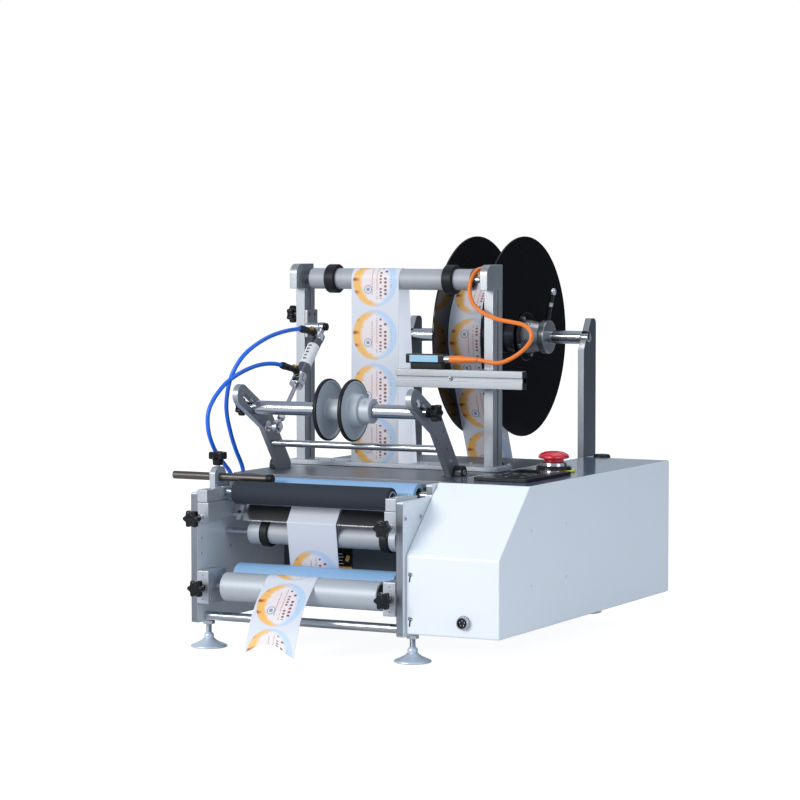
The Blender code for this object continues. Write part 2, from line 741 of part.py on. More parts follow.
def cut_rod(target, start, end, radius, sides=SIDES_SMALL):
    bm = bmesh.new()
    add_rod(bm, start, end, radius, sides)
    boolean(target, helper_shape(target.name + "_bore", bm))


def cut_box(target, low, high):
    bm = bmesh.new()
    add_box(bm, low, high)
    boolean(target, helper_shape(target.name + "_opening", bm))


def join_rod(target, start, end, radius, sides=SIDES_SMALL):
    bm = bmesh.new()
    add_rod(bm, start, end, radius, sides)
    boolean(target, helper_shape(target.name + "_joined_rod", bm), "UNION")


def join_box(target, low, high):
    bm = bmesh.new()
    add_box(bm, low, high)
    boolean(target, helper_shape(target.name + "_joined_block", bm), "UNION")


def mirrored_x(x):
    """The place across the middle between the plates."""
    return 2 * MID_X - x


def arc(centre, radius, start, end, steps=ARC_STEPS):
    """Points on an arc, angles in degrees, both ends included."""
    made = []
    for i in range(steps + 1):
        angle = math.radians(start + (end - start) * i / steps)
        made.append((centre[0] + radius * math.cos(angle), centre[1] + radius * math.sin(angle)))
    return made


def circle(centre, radius, sides=SIDES_MEDIUM):
    return arc(centre, radius, 0, 360 * (sides - 1) / sides, sides - 1)


def star_shape(stem, seat):
    """A lobed clamping knob on a stem, standing along Z, with the stem's seat below zero."""
    lobe_sides = KNOB_LOBES * LOBE_SIDES
    top = stem + KNOB_NECK + KNOB_HEAD
    rings = (
        (-seat, KNOB_STEM_RADIUS, 0), (stem, KNOB_STEM_RADIUS, 0), (stem, KNOB_NECK_RADIUS, 0),
        (stem + KNOB_NECK, KNOB_NECK_RADIUS, 0), (stem + KNOB_NECK, KNOB_RADIUS, KNOB_LOBE_SHARE),
        (top - KNOB_EDGE, KNOB_RADIUS, KNOB_LOBE_SHARE), (top, KNOB_RADIUS - KNOB_EDGE, KNOB_LOBE_SHARE))
    bm = bmesh.new()
    loops = []
    for height, radius, lobe_share in rings:
        loop = []
        for i in range(lobe_sides):
            angle = 2 * math.pi * i / lobe_sides
            reach = radius * (1 - lobe_share + lobe_share * math.cos(KNOB_LOBES * angle))
            loop.append(bm.verts.new((reach * math.cos(angle), reach * math.sin(angle), height)))
        loops.append(loop)
    for lower, upper in zip(loops, loops[1:]):
        for i in range(lobe_sides):
            j = (i + 1) % lobe_sides
            bm.faces.new((lower[i], lower[j], upper[j], upper[i]))
    bm.faces.new(list(reversed(loops[0])))
    bm.faces.new(loops[-1])
    return bm


def star_knob(name, tip, turn):
    """A knob of its own. Its origin is where the stem enters the block."""
    return from_bmesh(name, star_shape(KNOB_STEM, KNOB_SEAT), BLACK_PLASTIC, tip, turn)


def join_star(target, tip, turn, seat=KNOB_SEAT):
    """A knob joined to its screw, the neck starting at the tip."""
    boolean(target, helper_shape(target.name + "_knob", star_shape(0, seat), tip, turn), "UNION")


def shaft_holes():
    """Where the rollers' shafts pass through the side plates, as (Y, Z)."""
    return ((BLUE_ROLLER_Y, BLUE_ROLLER_Z), (GUIDE_ROLLER_Y, GUIDE_ROLLER_Z),
            (REAR_ROLLER_Y, REAR_ROLLER_Z), (RISE_ROLLER_Y, RISE_ROLLER_Z),
            (DRIVE_ROLLER_Y, DRIVE_ROLLER_Z))


# Side plates: thick aluminium, low at the front under the bottle rollers, stepped up to the deck,
# each standing on two levelling feet
def side_plates():
    shape = [(0, 0), (PLATE_LENGTH, 0), (PLATE_LENGTH, PLATE_TOP), (PLATE_STEP_Y, PLATE_TOP),
             (PLATE_STEP_Y, PLATE_FRONT_HEIGHT), (0, PLATE_FRONT_HEIGHT)]
    holes = [circle(place, ROLLER_SHAFT_RADIUS + FIT, SIDES_SMALL) for place in shaft_holes()]
    ports = [circle(place, FITTING_STEM_RADIUS + FIT, SIDES_SMALL) for place in port_holes()]
    for name, low_x, extra in (("side_plate_left", 0, ports), ("side_plate_right", RIGHT_INNER_X, [])):
        middle = low_x + PLATE_THICK / 2
        made = outline(name, [shape] + holes + extra, PLATE_THICK, ALUMINIUM, (middle, 0, 0))
        for y in (FOOT_FRONT_Y, FOOT_BACK_Y):
            levelling_foot(made, middle, y)


def levelling_foot(plate, x, y):
    """A coned pad, a ball collar, a threaded stem and its lock nut, screwed under a plate."""
    join_turned(plate, plate.name + "_foot", [
        (FOOT_SEAT, FOOT_STEM_RADIUS),
        (-KNOB_GAP, FOOT_STEM_RADIUS),
        (-KNOB_GAP, FOOT_NUT_RADIUS),
        (-KNOB_GAP - FOOT_NUT_HEIGHT, FOOT_NUT_RADIUS),
        (-KNOB_GAP - FOOT_NUT_HEIGHT, FOOT_STEM_RADIUS),
        (FOOT_BALL_HEIGHT - FOOT_HEIGHT, FOOT_STEM_RADIUS),
        (FOOT_BALL_HEIGHT - FOOT_HEIGHT, FOOT_BALL_RADIUS),
        (FOOT_CONE_HEIGHT - FOOT_HEIGHT, FOOT_BALL_RADIUS),
        (FOOT_RIM_HEIGHT - FOOT_HEIGHT, FOOT_PAD_RADIUS),
        (-FOOT_HEIGHT, FOOT_PAD_RADIUS)],
        (x, y, 0))


def port_holes():
    """Where the air ports pass through the left plate, as (Y, Z)."""
    ends = (Vector(route[-1]) * MM for route in (UPPER_TUBE_ROUTE, LOWER_TUBE_ROUTE))
    return [(end.y, end.z - CORD_GAP - ELBOW_HEIGHT / 2) for end in ends]


def cross_bars():
    low = PLATE_THICK + GAP
    high = RIGHT_INNER_X - GAP
    for name, y, z, radius, sides in (
            ("tie_rod", TIE_ROD_Y, TIE_ROD_Z, TIE_ROD_RADIUS, SIDES_SMALL),
            ("web_drop_bar", DROP_BAR_Y, DROP_BAR_Z, DROP_BAR_RADIUS, SIDES_MEDIUM)):
        turned(name, [(high, radius), (low, radius)], STEEL, (0, y, z), TURN_X, sides)


# Deck: a stainless sheet with a lip at its front and back, slotted for the web and the arms' feet
def deck():
    profile = ((DECK_FRONT_Y, DECK_TOP - DECK_LIP), (DECK_FRONT_Y, DECK_TOP),
               (DECK_BACK_Y, DECK_TOP), (DECK_BACK_Y, DECK_TOP - DECK_LIP))
    bm = bmesh.new()
    rows = [[bm.verts.new((x, y, z)) for y, z in profile] for x in (0, RIGHT_OUTER_X)]
    for i in range(len(profile) - 1):
        bm.faces.new((rows[0][i], rows[1][i], rows[1][i + 1], rows[0][i + 1]))
    made = from_bmesh("deck", bm, STEEL)
    wall = made.modifiers.new("sheet", "SOLIDIFY")
    wall.thickness = DECK_THICK
    wall.offset = -1
    wall.use_even_offset = True
    below = DECK_TOP - DECK_LIP - OVERRUN
    above = DECK_TOP + OVERRUN
    for low_x, high_x in ((-OVERRUN, PLATE_THICK + GAP), (RIGHT_INNER_X - GAP, RIGHT_OUTER_X + OVERRUN)):
        cut_box(made, (low_x, DECK_FRONT_Y - OVERRUN, below),
                (high_x, DECK_BACK_Y + OVERRUN, DECK_TOP - DECK_THICK))
    cut_box(made, (WEB_SLOT_LOW_X, web_slot_front(), below), (WEB_SLOT_HIGH_X, web_slot_back(), above))
    for low_x in (ARM_LEFT_OUTER_X, ARM_RIGHT_INNER_X):
        cut_box(made, (low_x - ARM_SLOT_MARGIN, ARM_PIVOT_Y - arm_front_reach() - ARM_SLOT_MARGIN, below),
                (low_x + ARM_THICK + ARM_SLOT_MARGIN, ARM_PIVOT_Y + ARM_HALF_WIDTH + ARM_SLOT_MARGIN, above))


def arm_front_reach():
    """How far the arm's straight front edge reaches ahead of its pivot at the deck, swung fully down."""
    lean = math.atan2(ARM_PIVOT_Y - ARM_ELBOW_Y, ARM_ELBOW_Z - ARM_PIVOT_Z) + ARM_SWING_DOWN
    below_pivot = ARM_PIVOT_Z - DECK_TOP
    return (ARM_HALF_WIDTH - below_pivot * math.sin(lean)) / math.cos(lean)


def web_slot_front():
    return TOP_ROLLER_Y - TOP_ROLLER_RADIUS - WEB_SLOT_MARGIN


def web_slot_back():
    return TOP_ROLLER_Y + TOP_ROLLER_RADIUS + WEB_SLOT_MARGIN


def upright_foot_bar():
    low_z = DECK_TOP + GAP
    made = box("upright_foot_bar",
               (-FOOT_BAR_OVERHANG, UPRIGHT_FRONT_Y - FOOT_BAR_FRONT, low_z),
               (2 * MID_X + FOOT_BAR_OVERHANG, UPRIGHT_BACK_Y + FOOT_BAR_BACK, FOOT_BAR_TOP),
               ALUMINIUM)
    cut_box(made, (WEB_SLOT_LOW_X, web_slot_front(), low_z - OVERRUN),
            (WEB_SLOT_HIGH_X, web_slot_back(), FOOT_BAR_TOP + OVERRUN))


# Casing: one folded sheet, slanted at the front, open towards the right plate
def casing():
    profile = ((CASING_FRONT_Y, CASING_BOTTOM), (CASING_FRONT_Y, CASING_KINK_Z),
               (CASING_SLANT_Y, DECK_TOP), (CASING_BACK_Y, DECK_TOP), (CASING_BACK_Y, CASING_BOTTOM))
    bm = bmesh.new()
    left = [bm.verts.new((CASING_LEFT_X, y, z)) for y, z in profile]
    right = [bm.verts.new((CASING_RIGHT_X, y, z)) for y, z in profile]
    for i in range(len(profile)):
        j = (i + 1) % len(profile)
        bm.faces.new((left[i], right[i], right[j], left[j]))
    bm.faces.new(list(reversed(right)))
    bmesh.ops.recalc_face_normals(bm, faces=bm.faces)
    made = from_bmesh("casing", bm, WHITE_PAINT)
    ease(made, CASING_EDGE_ROUND, FOLD_STEPS)
    wall = made.modifiers.new("sheet", "SOLIDIFY")
    wall.thickness = CASING_WALL
    wall.offset = -1
    wall.use_even_offset = True
    return made


def control_panel():
    low_z = DECK_TOP + GAP
    box("control_panel", (PANEL_LOW_X, PANEL_FRONT_Y, low_z),
        (PANEL_LOW_X + PANEL_WIDTH, PANEL_FRONT_Y + PANEL_DEPTH, low_z + PANEL_THICK), BLACK_GLOSS)


# Emergency stop: a yellow ring with the button's collar, and the mushroom button that slides in it
def emergency_stop():
    base_z = DECK_TOP + GAP
    turned("estop_base", [
        (ESTOP_RING_THICK + ESTOP_STEM_HEIGHT, ESTOP_STEM_RADIUS),
        (ESTOP_RING_THICK, ESTOP_STEM_RADIUS),
        (ESTOP_RING_THICK, ESTOP_RING_RADIUS),
        (0, ESTOP_RING_RADIUS),
        (0, ESTOP_BORE_RADIUS + FIT),
        (ESTOP_RING_THICK + ESTOP_STEM_HEIGHT, ESTOP_BORE_RADIUS + FIT)],
        YELLOW_PLASTIC, (ESTOP_X, ESTOP_Y, base_z), (0, 0, 0), SIDES_MEDIUM, ring=True)
    stem_top = ESTOP_RING_THICK + ESTOP_STEM_HEIGHT + ESTOP_TRAVEL + GAP
    cap = [(stem_top + ESTOP_CAP_HEIGHT * height_share, ESTOP_CAP_RADIUS * radius_share)
           for height_share, radius_share in ESTOP_CAP_SHARES]
    turned("estop_button",
           cap + [(stem_top, ESTOP_BORE_RADIUS), (ESTOP_TRAVEL + GAP, ESTOP_BORE_RADIUS)],
           RED_PLASTIC, (ESTOP_X, ESTOP_Y, base_z), (0, 0, 0), SIDES_MEDIUM)


# Connectors on the casing: a round signal socket on its front, a mains inlet on its back
def panel_connectors(made):
    join_turned(made, "signal_socket", [
        (SOCKET_LENGTH - SOCKET_BORE_DEPTH, SOCKET_BORE_RADIUS),
        (SOCKET_LENGTH, SOCKET_BORE_RADIUS),
        (SOCKET_LENGTH, SOCKET_RADIUS),
        (-CASING_WALL / 2, SOCKET_RADIUS)],
        (SOCKET_X, CASING_FRONT_Y, SOCKET_Z), TURN_FRONT, SIDES_SMALL)
    half_width = INLET_WIDTH / 2
    half_height = INLET_HEIGHT / 2
    back = CASING_BACK_Y
    join_box(made, (INLET_X - half_width, back - CASING_WALL / 2, INLET_Z - half_height),
             (INLET_X + half_width, back + INLET_DEPTH, INLET_Z + half_height))
    cut_box(made, (INLET_X - INLET_HOLE_WIDTH / 2, back + INLET_DEPTH - INLET_HOLE_DEPTH,
                   INLET_Z - INLET_HOLE_HEIGHT / 2),
            (INLET_X + INLET_HOLE_WIDTH / 2, back + INLET_DEPTH + OVERRUN,
             INLET_Z + INLET_HOLE_HEIGHT / 2))


# Uprights: slotted aluminium profile, one slot on each broad side, with the top roller's block
def uprights():
    half_slot = SLOT_MOUTH / 2
    middle = UPRIGHT_FRONT_Y + UPRIGHT_DEPTH / 2
    half = UPRIGHT_WIDTH / 2
    low_z = FOOT_BAR_TOP + GAP
    x = UPRIGHT_INSET + half
    for side, place_x in (("left", x), ("right", mirrored_x(x))):
        made = box("upright_" + side, (place_x - half, UPRIGHT_FRONT_Y, low_z),
                   (place_x + half, UPRIGHT_BACK_Y, UPRIGHT_TOP), ALUMINIUM)
        for face, floor in ((place_x - half, place_x - half + SLOT_DEPTH),
                            (place_x + half, place_x + half - SLOT_DEPTH)):
            beyond = face + (face - floor)
            cut_box(made, (min(beyond, floor), middle - half_slot, low_z - OVERRUN),
                    (max(beyond, floor), middle + half_slot, UPRIGHT_TOP + OVERRUN))
        top_block(made, place_x)
        if place_x < MID_X:
            join_star(made, (UPRIGHT_INSET - KNOB_GAP, middle, BRACKET_KNOB_Z), TURN_LEFT,
                      SLOT_DEPTH + 2 * KNOB_GAP)


def top_block(upright, upright_x):
    """The block on an upright's head, in which the top roller's shaft turns."""
    low_z = UPRIGHT_TOP - KNOB_GAP
    top = UPRIGHT_TOP + TOP_BLOCK_HEIGHT
    back = TOP_BLOCK_FRONT_Y + TOP_BLOCK_LENGTH
    corner = (TOP_BLOCK_FRONT_Y + TOP_BLOCK_ROUND, top - TOP_BLOCK_ROUND)
    shape = [(TOP_BLOCK_FRONT_Y, low_z), (back, low_z), (back, top)]
    shape += arc(corner, TOP_BLOCK_ROUND, 90, 180)
    hole = circle((TOP_ROLLER_Y, TOP_ROLLER_Z), ROLLER_SHAFT_RADIUS + FIT, SIDES_SMALL)
    left_x = UPRIGHT_INSET + GAP + TOP_BLOCK_WIDTH / 2
    x = left_x if upright_x < MID_X else mirrored_x(left_x)
    block = flat_mesh(upright.name + "_block", [shape, hole], TOP_BLOCK_WIDTH)
    boolean(upright, helper_object(block.name, block, (x, 0, 0), TURN_YZ), "UNION")


# Rollers: a tube with plain ends on a thinner shaft
def roller(name, low_x, high_x, y, z, radius, look, shaft_low, shaft_high, collar=None):
    """The collar is its inset from each end, its width and its radius."""
    profile = [(shaft_high, ROLLER_SHAFT_RADIUS), (high_x, ROLLER_SHAFT_RADIUS),
               (high_x, radius - ROLLER_EDGE), (high_x - ROLLER_EDGE, radius)]
    if collar:
        inset, width, collar_radius = collar
        for outer, inner in ((high_x - inset, high_x - inset - width),
                             (low_x + inset + width, low_x + inset)):
            profile += [(outer, radius), (outer, collar_radius), (inner, collar_radius), (inner, radius)]
    profile += [(low_x + ROLLER_EDGE, radius), (low_x, radius - ROLLER_EDGE),
                (low_x, ROLLER_SHAFT_RADIUS), (shaft_low, ROLLER_SHAFT_RADIUS)]
    return turned(name, profile, look, (0, y, z), TURN_X, SIDES_MEDIUM)


def plate_roller(name, inset, y, z, radius, look, collar=None):
    """A roller whose shaft turns in both side plates."""
    return roller(name, PLATE_THICK + inset, RIGHT_INNER_X - inset, y, z, radius, look,
                  PLATE_THICK - SHAFT_SEAT_DEPTH, RIGHT_INNER_X + SHAFT_SEAT_DEPTH, collar)


def rollers():
    block_face = PLATE_THICK + GAP + BLOCK_WIDTH
    roller("foam_roller", PLATE_THICK + FOAM_ROLLER_INSET, RIGHT_INNER_X - FOAM_ROLLER_INSET,
           FOAM_ROLLER_Y, FOAM_ROLLER_Z, FOAM_ROLLER_RADIUS, CHARCOAL_FOAM,
           block_face - SHAFT_SEAT_DEPTH, mirrored_x(block_face - SHAFT_SEAT_DEPTH))
    plate_roller("blue_roller", BLUE_ROLLER_INSET, BLUE_ROLLER_Y, BLUE_ROLLER_Z,
                 BLUE_ROLLER_RADIUS, BLUE_RUBBER)
    plate_roller("guide_roller", GUIDE_ROLLER_INSET, GUIDE_ROLLER_Y, GUIDE_ROLLER_Z,
                 GUIDE_ROLLER_RADIUS, ALUMINIUM,
                 (GUIDE_COLLAR_INSET, GUIDE_COLLAR_WIDTH, GUIDE_COLLAR_RADIUS))
    plate_roller("rear_guide_roller", HIDDEN_ROLLER_INSET, REAR_ROLLER_Y, REAR_ROLLER_Z,
                 HIDDEN_ROLLER_RADIUS, ALUMINIUM)
    plate_roller("rise_guide_roller", HIDDEN_ROLLER_INSET, RISE_ROLLER_Y, RISE_ROLLER_Z,
                 HIDDEN_ROLLER_RADIUS, ALUMINIUM)
    roller("drive_roller", PLATE_THICK + DRIVE_ROLLER_INSET, RIGHT_INNER_X - DRIVE_ROLLER_INSET,
           DRIVE_ROLLER_Y, DRIVE_ROLLER_Z, DRIVE_ROLLER_RADIUS, BLUE_RUBBER,
           PLATE_THICK - SHAFT_SEAT_DEPTH, RIGHT_OUTER_X + DRIVE_SHAFT_OUT)
    bracket_face = PLATE_THICK + GAP + PINCH_BRACKET_WIDTH
    roller("pinch_roller", PLATE_THICK + PINCH_ROLLER_INSET, RIGHT_INNER_X - PINCH_ROLLER_INSET,
           PINCH_ROLLER_Y, PINCH_ROLLER_Z, PINCH_ROLLER_RADIUS, ALUMINIUM,
           bracket_face - SHAFT_SEAT_DEPTH, mirrored_x(bracket_face - SHAFT_SEAT_DEPTH))
    block_inner = UPRIGHT_INSET + TOP_BLOCK_WIDTH
    roller("top_roller", TOP_ROLLER_LEFT, TOP_ROLLER_RIGHT, TOP_ROLLER_Y, TOP_ROLLER_Z,
           TOP_ROLLER_RADIUS, ALUMINIUM, block_inner - SHAFT_SEAT_DEPTH,
           mirrored_x(block_inner - SHAFT_SEAT_DEPTH),
           (TOP_COLLAR_INSET, TOP_COLLAR_WIDTH, TOP_COLLAR_RADIUS))


# Bearing blocks: stepped aluminium blocks inside the plates, which hold the front roller
def bearing_blocks():
    low_end = BLOCK_FRONT_Y + BLOCK_LOW_LENGTH
    top_end = BLOCK_FRONT_Y + BLOCK_TOP_LENGTH
    shape = [(BLOCK_FRONT_Y, BLOCK_LOW_Z), (low_end, BLOCK_LOW_Z), (low_end, BLOCK_STEP_Z),
             (top_end, BLOCK_STEP_Z), (top_end, BLOCK_TOP_Z), (BLOCK_FRONT_Y, BLOCK_TOP_Z)]
    x = PLATE_THICK + GAP + BLOCK_WIDTH / 2
    for side, place_x, knob_x in (("left", x, BLOCK_KNOB_X),
                                  ("right", mirrored_x(x), mirrored_x(BLOCK_KNOB_X))):
        made = outline("bearing_block_" + side, [shape], BLOCK_WIDTH, ALUMINIUM, (place_x, 0, 0))
        front_bores(made, place_x, BLOCK_WIDTH, (FOAM_ROLLER_Y, FOAM_ROLLER_Z),
                    (knob_x, BLOCK_FRONT_Y, BLOCK_KNOB_Z))


def front_bores(made, middle_x, width, shaft, knob):
    """The blind bore of a roller's shaft on the block's inner side, and the knob's at its front."""
    inward = 1 if middle_x < MID_X else -1
    face = middle_x + inward * width / 2
    cut_rod(made, (face - inward * (SHAFT_SEAT_DEPTH + GAP), *shaft), (face + inward * OVERRUN, *shaft),
            ROLLER_SHAFT_RADIUS + FIT)
    x, y, z = knob
    cut_rod(made, (x, y - OVERRUN, z), (x, y + KNOB_SEAT + GAP, z), KNOB_STEM_RADIUS + FIT)


def peel_plate():
    run = Vector((PEEL_BACK_Y - PEEL_FRONT_Y, PEEL_BACK_Z - PEEL_FRONT_Z)).normalized()
    under = Vector((run.y, -run.x)) * PEEL_THICK
    shape = [(PEEL_FRONT_Y, PEEL_FRONT_Z), (PEEL_FRONT_Y + under.x, PEEL_FRONT_Z + under.y),
             (PEEL_BACK_Y + under.x, PEEL_BACK_Z + under.y), (PEEL_BACK_Y, PEEL_BACK_Z)]
    made = outline("peel_plate", [shape], PLATE_SPAN - 2 * PEEL_INSET, STEEL, (MID_X, 0, 0))
    low_x = PLATE_THICK + BLOCK_WIDTH + 2 * GAP
    join_rod(made, (low_x, PEEL_BAR_Y, PEEL_BAR_Z), (2 * MID_X - low_x, PEEL_BAR_Y, PEEL_BAR_Z),
             PEEL_BAR_RADIUS)


def pinch_brackets():
    x = PLATE_THICK + GAP + PINCH_BRACKET_WIDTH / 2
    half = PINCH_BRACKET_WIDTH / 2
    back = PINCH_BRACKET_FRONT_Y + PINCH_BRACKET_LENGTH
    for side, place_x, knob_x in (("left", x, PINCH_KNOB_X),
                                  ("right", mirrored_x(x), mirrored_x(PINCH_KNOB_X))):
        made = box("pinch_bracket_" + side, (place_x - half, PINCH_BRACKET_FRONT_Y, PINCH_BRACKET_LOW_Z),
                   (place_x + half, back, PINCH_BRACKET_TOP_Z), ALUMINIUM)
        front_bores(made, place_x, PINCH_BRACKET_WIDTH, (PINCH_ROLLER_Y, PINCH_ROLLER_Z),
                    (knob_x, PINCH_BRACKET_FRONT_Y, PINCH_KNOB_Z))


def back_panel():
    box("back_panel", (PLATE_THICK + GAP, BACK_PANEL_Y, BACK_PANEL_LOW_Z),
        (RIGHT_INNER_X - GAP, BACK_PANEL_Y + BACK_PANEL_THICK, BACK_PANEL_TOP_Z), DARK_STEEL)


def front_knobs():
    for side, mirrored in (("left", False), ("right", True)):
        for kind, x, y, z in (("block", BLOCK_KNOB_X, BLOCK_FRONT_Y, BLOCK_KNOB_Z),
                              ("pinch", PINCH_KNOB_X, PINCH_BRACKET_FRONT_Y, PINCH_KNOB_Z)):
            place_x = mirrored_x(x) if mirrored else x
            star_knob("knob_%s_%s" % (kind, side), (place_x, y, z), TURN_FRONT)


# Bottle stop: a rod across the rollers' left end, in a clamp on the plate's top edge
def bottle_stop():
    low_x = STOP_CLAMP_INSET
    high_x = PLATE_THICK - STOP_CLAMP_INSET
    low_z = PLATE_FRONT_HEIGHT + GAP
    top = low_z + STOP_CLAMP_HEIGHT
    half = STOP_CLAMP_LENGTH / 2
    clamp = box("stop_clamp", (low_x, STOP_ROD_Y - half, low_z), (high_x, STOP_ROD_Y + half, top),
                ALUMINIUM)
    cut_rod(clamp, (low_x - OVERRUN, STOP_ROD_Y, STOP_ROD_Z), (high_x + OVERRUN, STOP_ROD_Y, STOP_ROD_Z),
            STOP_ROD_RADIUS + FIT)
    cut_rod(clamp, (PLATE_THICK / 2, STOP_ROD_Y, top - KNOB_SEAT - GAP),
            (PLATE_THICK / 2, STOP_ROD_Y, top + OVERRUN), KNOB_STEM_RADIUS + FIT)
    turned("stop_rod", [
        (STOP_ROD_IN, STOP_TIP_RADIUS - ROLLER_EDGE),
        (STOP_ROD_IN - ROLLER_EDGE, STOP_TIP_RADIUS),
        (STOP_ROD_IN - STOP_TIP_LENGTH, STOP_TIP_RADIUS),
        (STOP_ROD_IN - STOP_TIP_LENGTH, STOP_ROD_RADIUS),
        (ROLLER_EDGE - STOP_ROD_OUT, STOP_ROD_RADIUS),
        (-STOP_ROD_OUT, STOP_ROD_RADIUS - ROLLER_EDGE)],
        DARK_STEEL, (0, STOP_ROD_Y, STOP_ROD_Z), TURN_X, SIDES_SMALL)
    star_knob("knob_stop", (PLATE_THICK / 2, STOP_ROD_Y, top), (0, 0, 0))


# Reel: shaft with a collar, the spool with its left disc, the label roll, the loose right disc and
# the flange that holds it, with a clamp and its lever
def reel():
    right = REEL_ROLL_LEFT + REEL_ROLL_WIDTH
    disc_left = REEL_ROLL_LEFT - GAP - REEL_DISC_THICK
    disc_right = right + GAP
    hub_end = disc_right + REEL_DISC_THICK + HUB_LENGTH
    post_inner = PLATE_THICK + GAP + POST_THICK
    shaft_low = PLATE_THICK + 2 * GAP
    turned("reel_shaft", [
        (2 * MID_X - shaft_low, REEL_NECK_RADIUS),
        (2 * MID_X - post_inner - GAP, REEL_NECK_RADIUS),
        (2 * MID_X - post_inner - GAP, REEL_SHAFT_RADIUS),
        (disc_left - GAP, REEL_SHAFT_RADIUS),
        (disc_left - GAP, REEL_COLLAR_RADIUS),
        (disc_left - GAP - REEL_COLLAR_WIDTH, REEL_COLLAR_RADIUS),
        (disc_left - GAP - REEL_COLLAR_WIDTH, REEL_SHAFT_RADIUS),
        (post_inner + GAP, REEL_SHAFT_RADIUS),
        (post_inner + GAP, REEL_NECK_RADIUS),
        (shaft_low, REEL_NECK_RADIUS)],
        CHROME, (0, REEL_Y, REEL_Z), TURN_X, SIDES_MEDIUM)
    bore = REEL_SHAFT_RADIUS + FIT
    turned("reel_disc", tube_ring(disc_right, disc_right + REEL_DISC_THICK, HUB_RADIUS + FIT,
                                  REEL_DISC_RADIUS),
           BLACK_GLOSS, (0, REEL_Y, REEL_Z), TURN_X, SIDES_LARGE, ring=True)
    turned("label_roll", tube_ring(REEL_ROLL_LEFT, right, REEL_CORE_RADIUS + FIT, REEL_ROLL_RADIUS),
           PAPER, (0, REEL_Y, REEL_Z), TURN_X, SIDES_LARGE, ring=True)
    turned("reel_spool", [
        (disc_right + REEL_DISC_THICK, HUB_RADIUS),
        (right, HUB_RADIUS),
        (right, REEL_CORE_RADIUS),
        (REEL_ROLL_LEFT - GAP, REEL_CORE_RADIUS),
        (REEL_ROLL_LEFT - GAP, REEL_DISC_RADIUS),
        (disc_left, REEL_DISC_RADIUS),
        (disc_left, bore),
        (disc_right + REEL_DISC_THICK, bore)],
        BLACK_GLOSS, (0, REEL_Y, REEL_Z), TURN_X, SIDES_LARGE, ring=True)
    flange_low = disc_right + REEL_DISC_THICK + GAP
    hub = turned("reel_hub", [
        (hub_end + HUB_CLAMP_WIDTH, HUB_CLAMP_RADIUS),
        (hub_end, HUB_CLAMP_RADIUS),
        (hub_end, HUB_RADIUS - HUB_TAPER),
        (flange_low + HUB_FLANGE_THICK, HUB_RADIUS),
        (flange_low + HUB_FLANGE_THICK, HUB_FLANGE_RADIUS),
        (flange_low, HUB_FLANGE_RADIUS),
        (flange_low, bore),
        (hub_end + HUB_CLAMP_WIDTH, bore)],
        ALUMINIUM, (0, REEL_Y, REEL_Z), TURN_X, SIDES_MEDIUM, ring=True)
    lean = Vector((math.sin(LEVER_LEAN), 0, math.cos(LEVER_LEAN)))
    root = Vector((hub_end + HUB_CLAMP_WIDTH / 2, REEL_Y, REEL_Z + HUB_CLAMP_RADIUS - LEVER_SEAT))
    cut_rod(hub, root - lean * GAP, root + lean * (LEVER_SEAT + OVERRUN), LEVER_ROOT_RADIUS + FIT)
    turned("reel_lever", [
        (LEVER_LENGTH + LEVER_KNOB_RADIUS, LEVER_GRIP_RADIUS),
        (LEVER_LENGTH, LEVER_KNOB_RADIUS),
        (LEVER_LENGTH - LEVER_KNOB_RADIUS, LEVER_GRIP_RADIUS),
        (LEVER_ROOT, LEVER_GRIP_RADIUS),
        (LEVER_ROOT, LEVER_ROOT_RADIUS),
        (0, LEVER_ROOT_RADIUS)],
        DARK_STEEL, root, (0, LEVER_LEAN, 0), SIDES_SMALL)


# Reel posts: flat bars with a slanted front corner and an open notch in which the shaft's neck lies
def reel_posts():
    back = POST_FRONT_Y + POST_DEPTH
    slant = Vector((POST_SLANT_Y - POST_FRONT_Y, POST_TOP_Z - POST_SLANT_Z)).normalized()
    out = Vector((-slant.y, slant.x))
    centre = Vector((REEL_Y, REEL_Z))
    notch = REEL_NECK_RADIUS + FIT
    depth = (Vector((POST_FRONT_Y, POST_SLANT_Z)) - centre).dot(out)
    start = math.degrees(math.atan2(-slant.y, -slant.x))
    lower_lip = centre - slant * notch + out * depth
    upper_lip = centre + slant * notch + out * depth
    shape = [(POST_FRONT_Y, POST_LOW_Z), (back, POST_LOW_Z)]
    shape += arc((back - POST_TOP_ROUND, POST_TOP_Z - POST_TOP_ROUND), POST_TOP_ROUND, 0, 90, CORNER_STEPS)
    shape += [(POST_SLANT_Y, POST_TOP_Z), tuple(upper_lip)]
    shape += list(reversed(arc(centre, notch, start, start + 180, NOTCH_STEPS)))
    shape += [tuple(lower_lip), (POST_FRONT_Y, POST_SLANT_Z)]
    x = PLATE_THICK + GAP + POST_THICK / 2
    for side, place_x in (("left", x), ("right", mirrored_x(x))):
        outline("reel_post_" + side, [shape], POST_THICK, ALUMINIUM, (place_x, 0, 0))


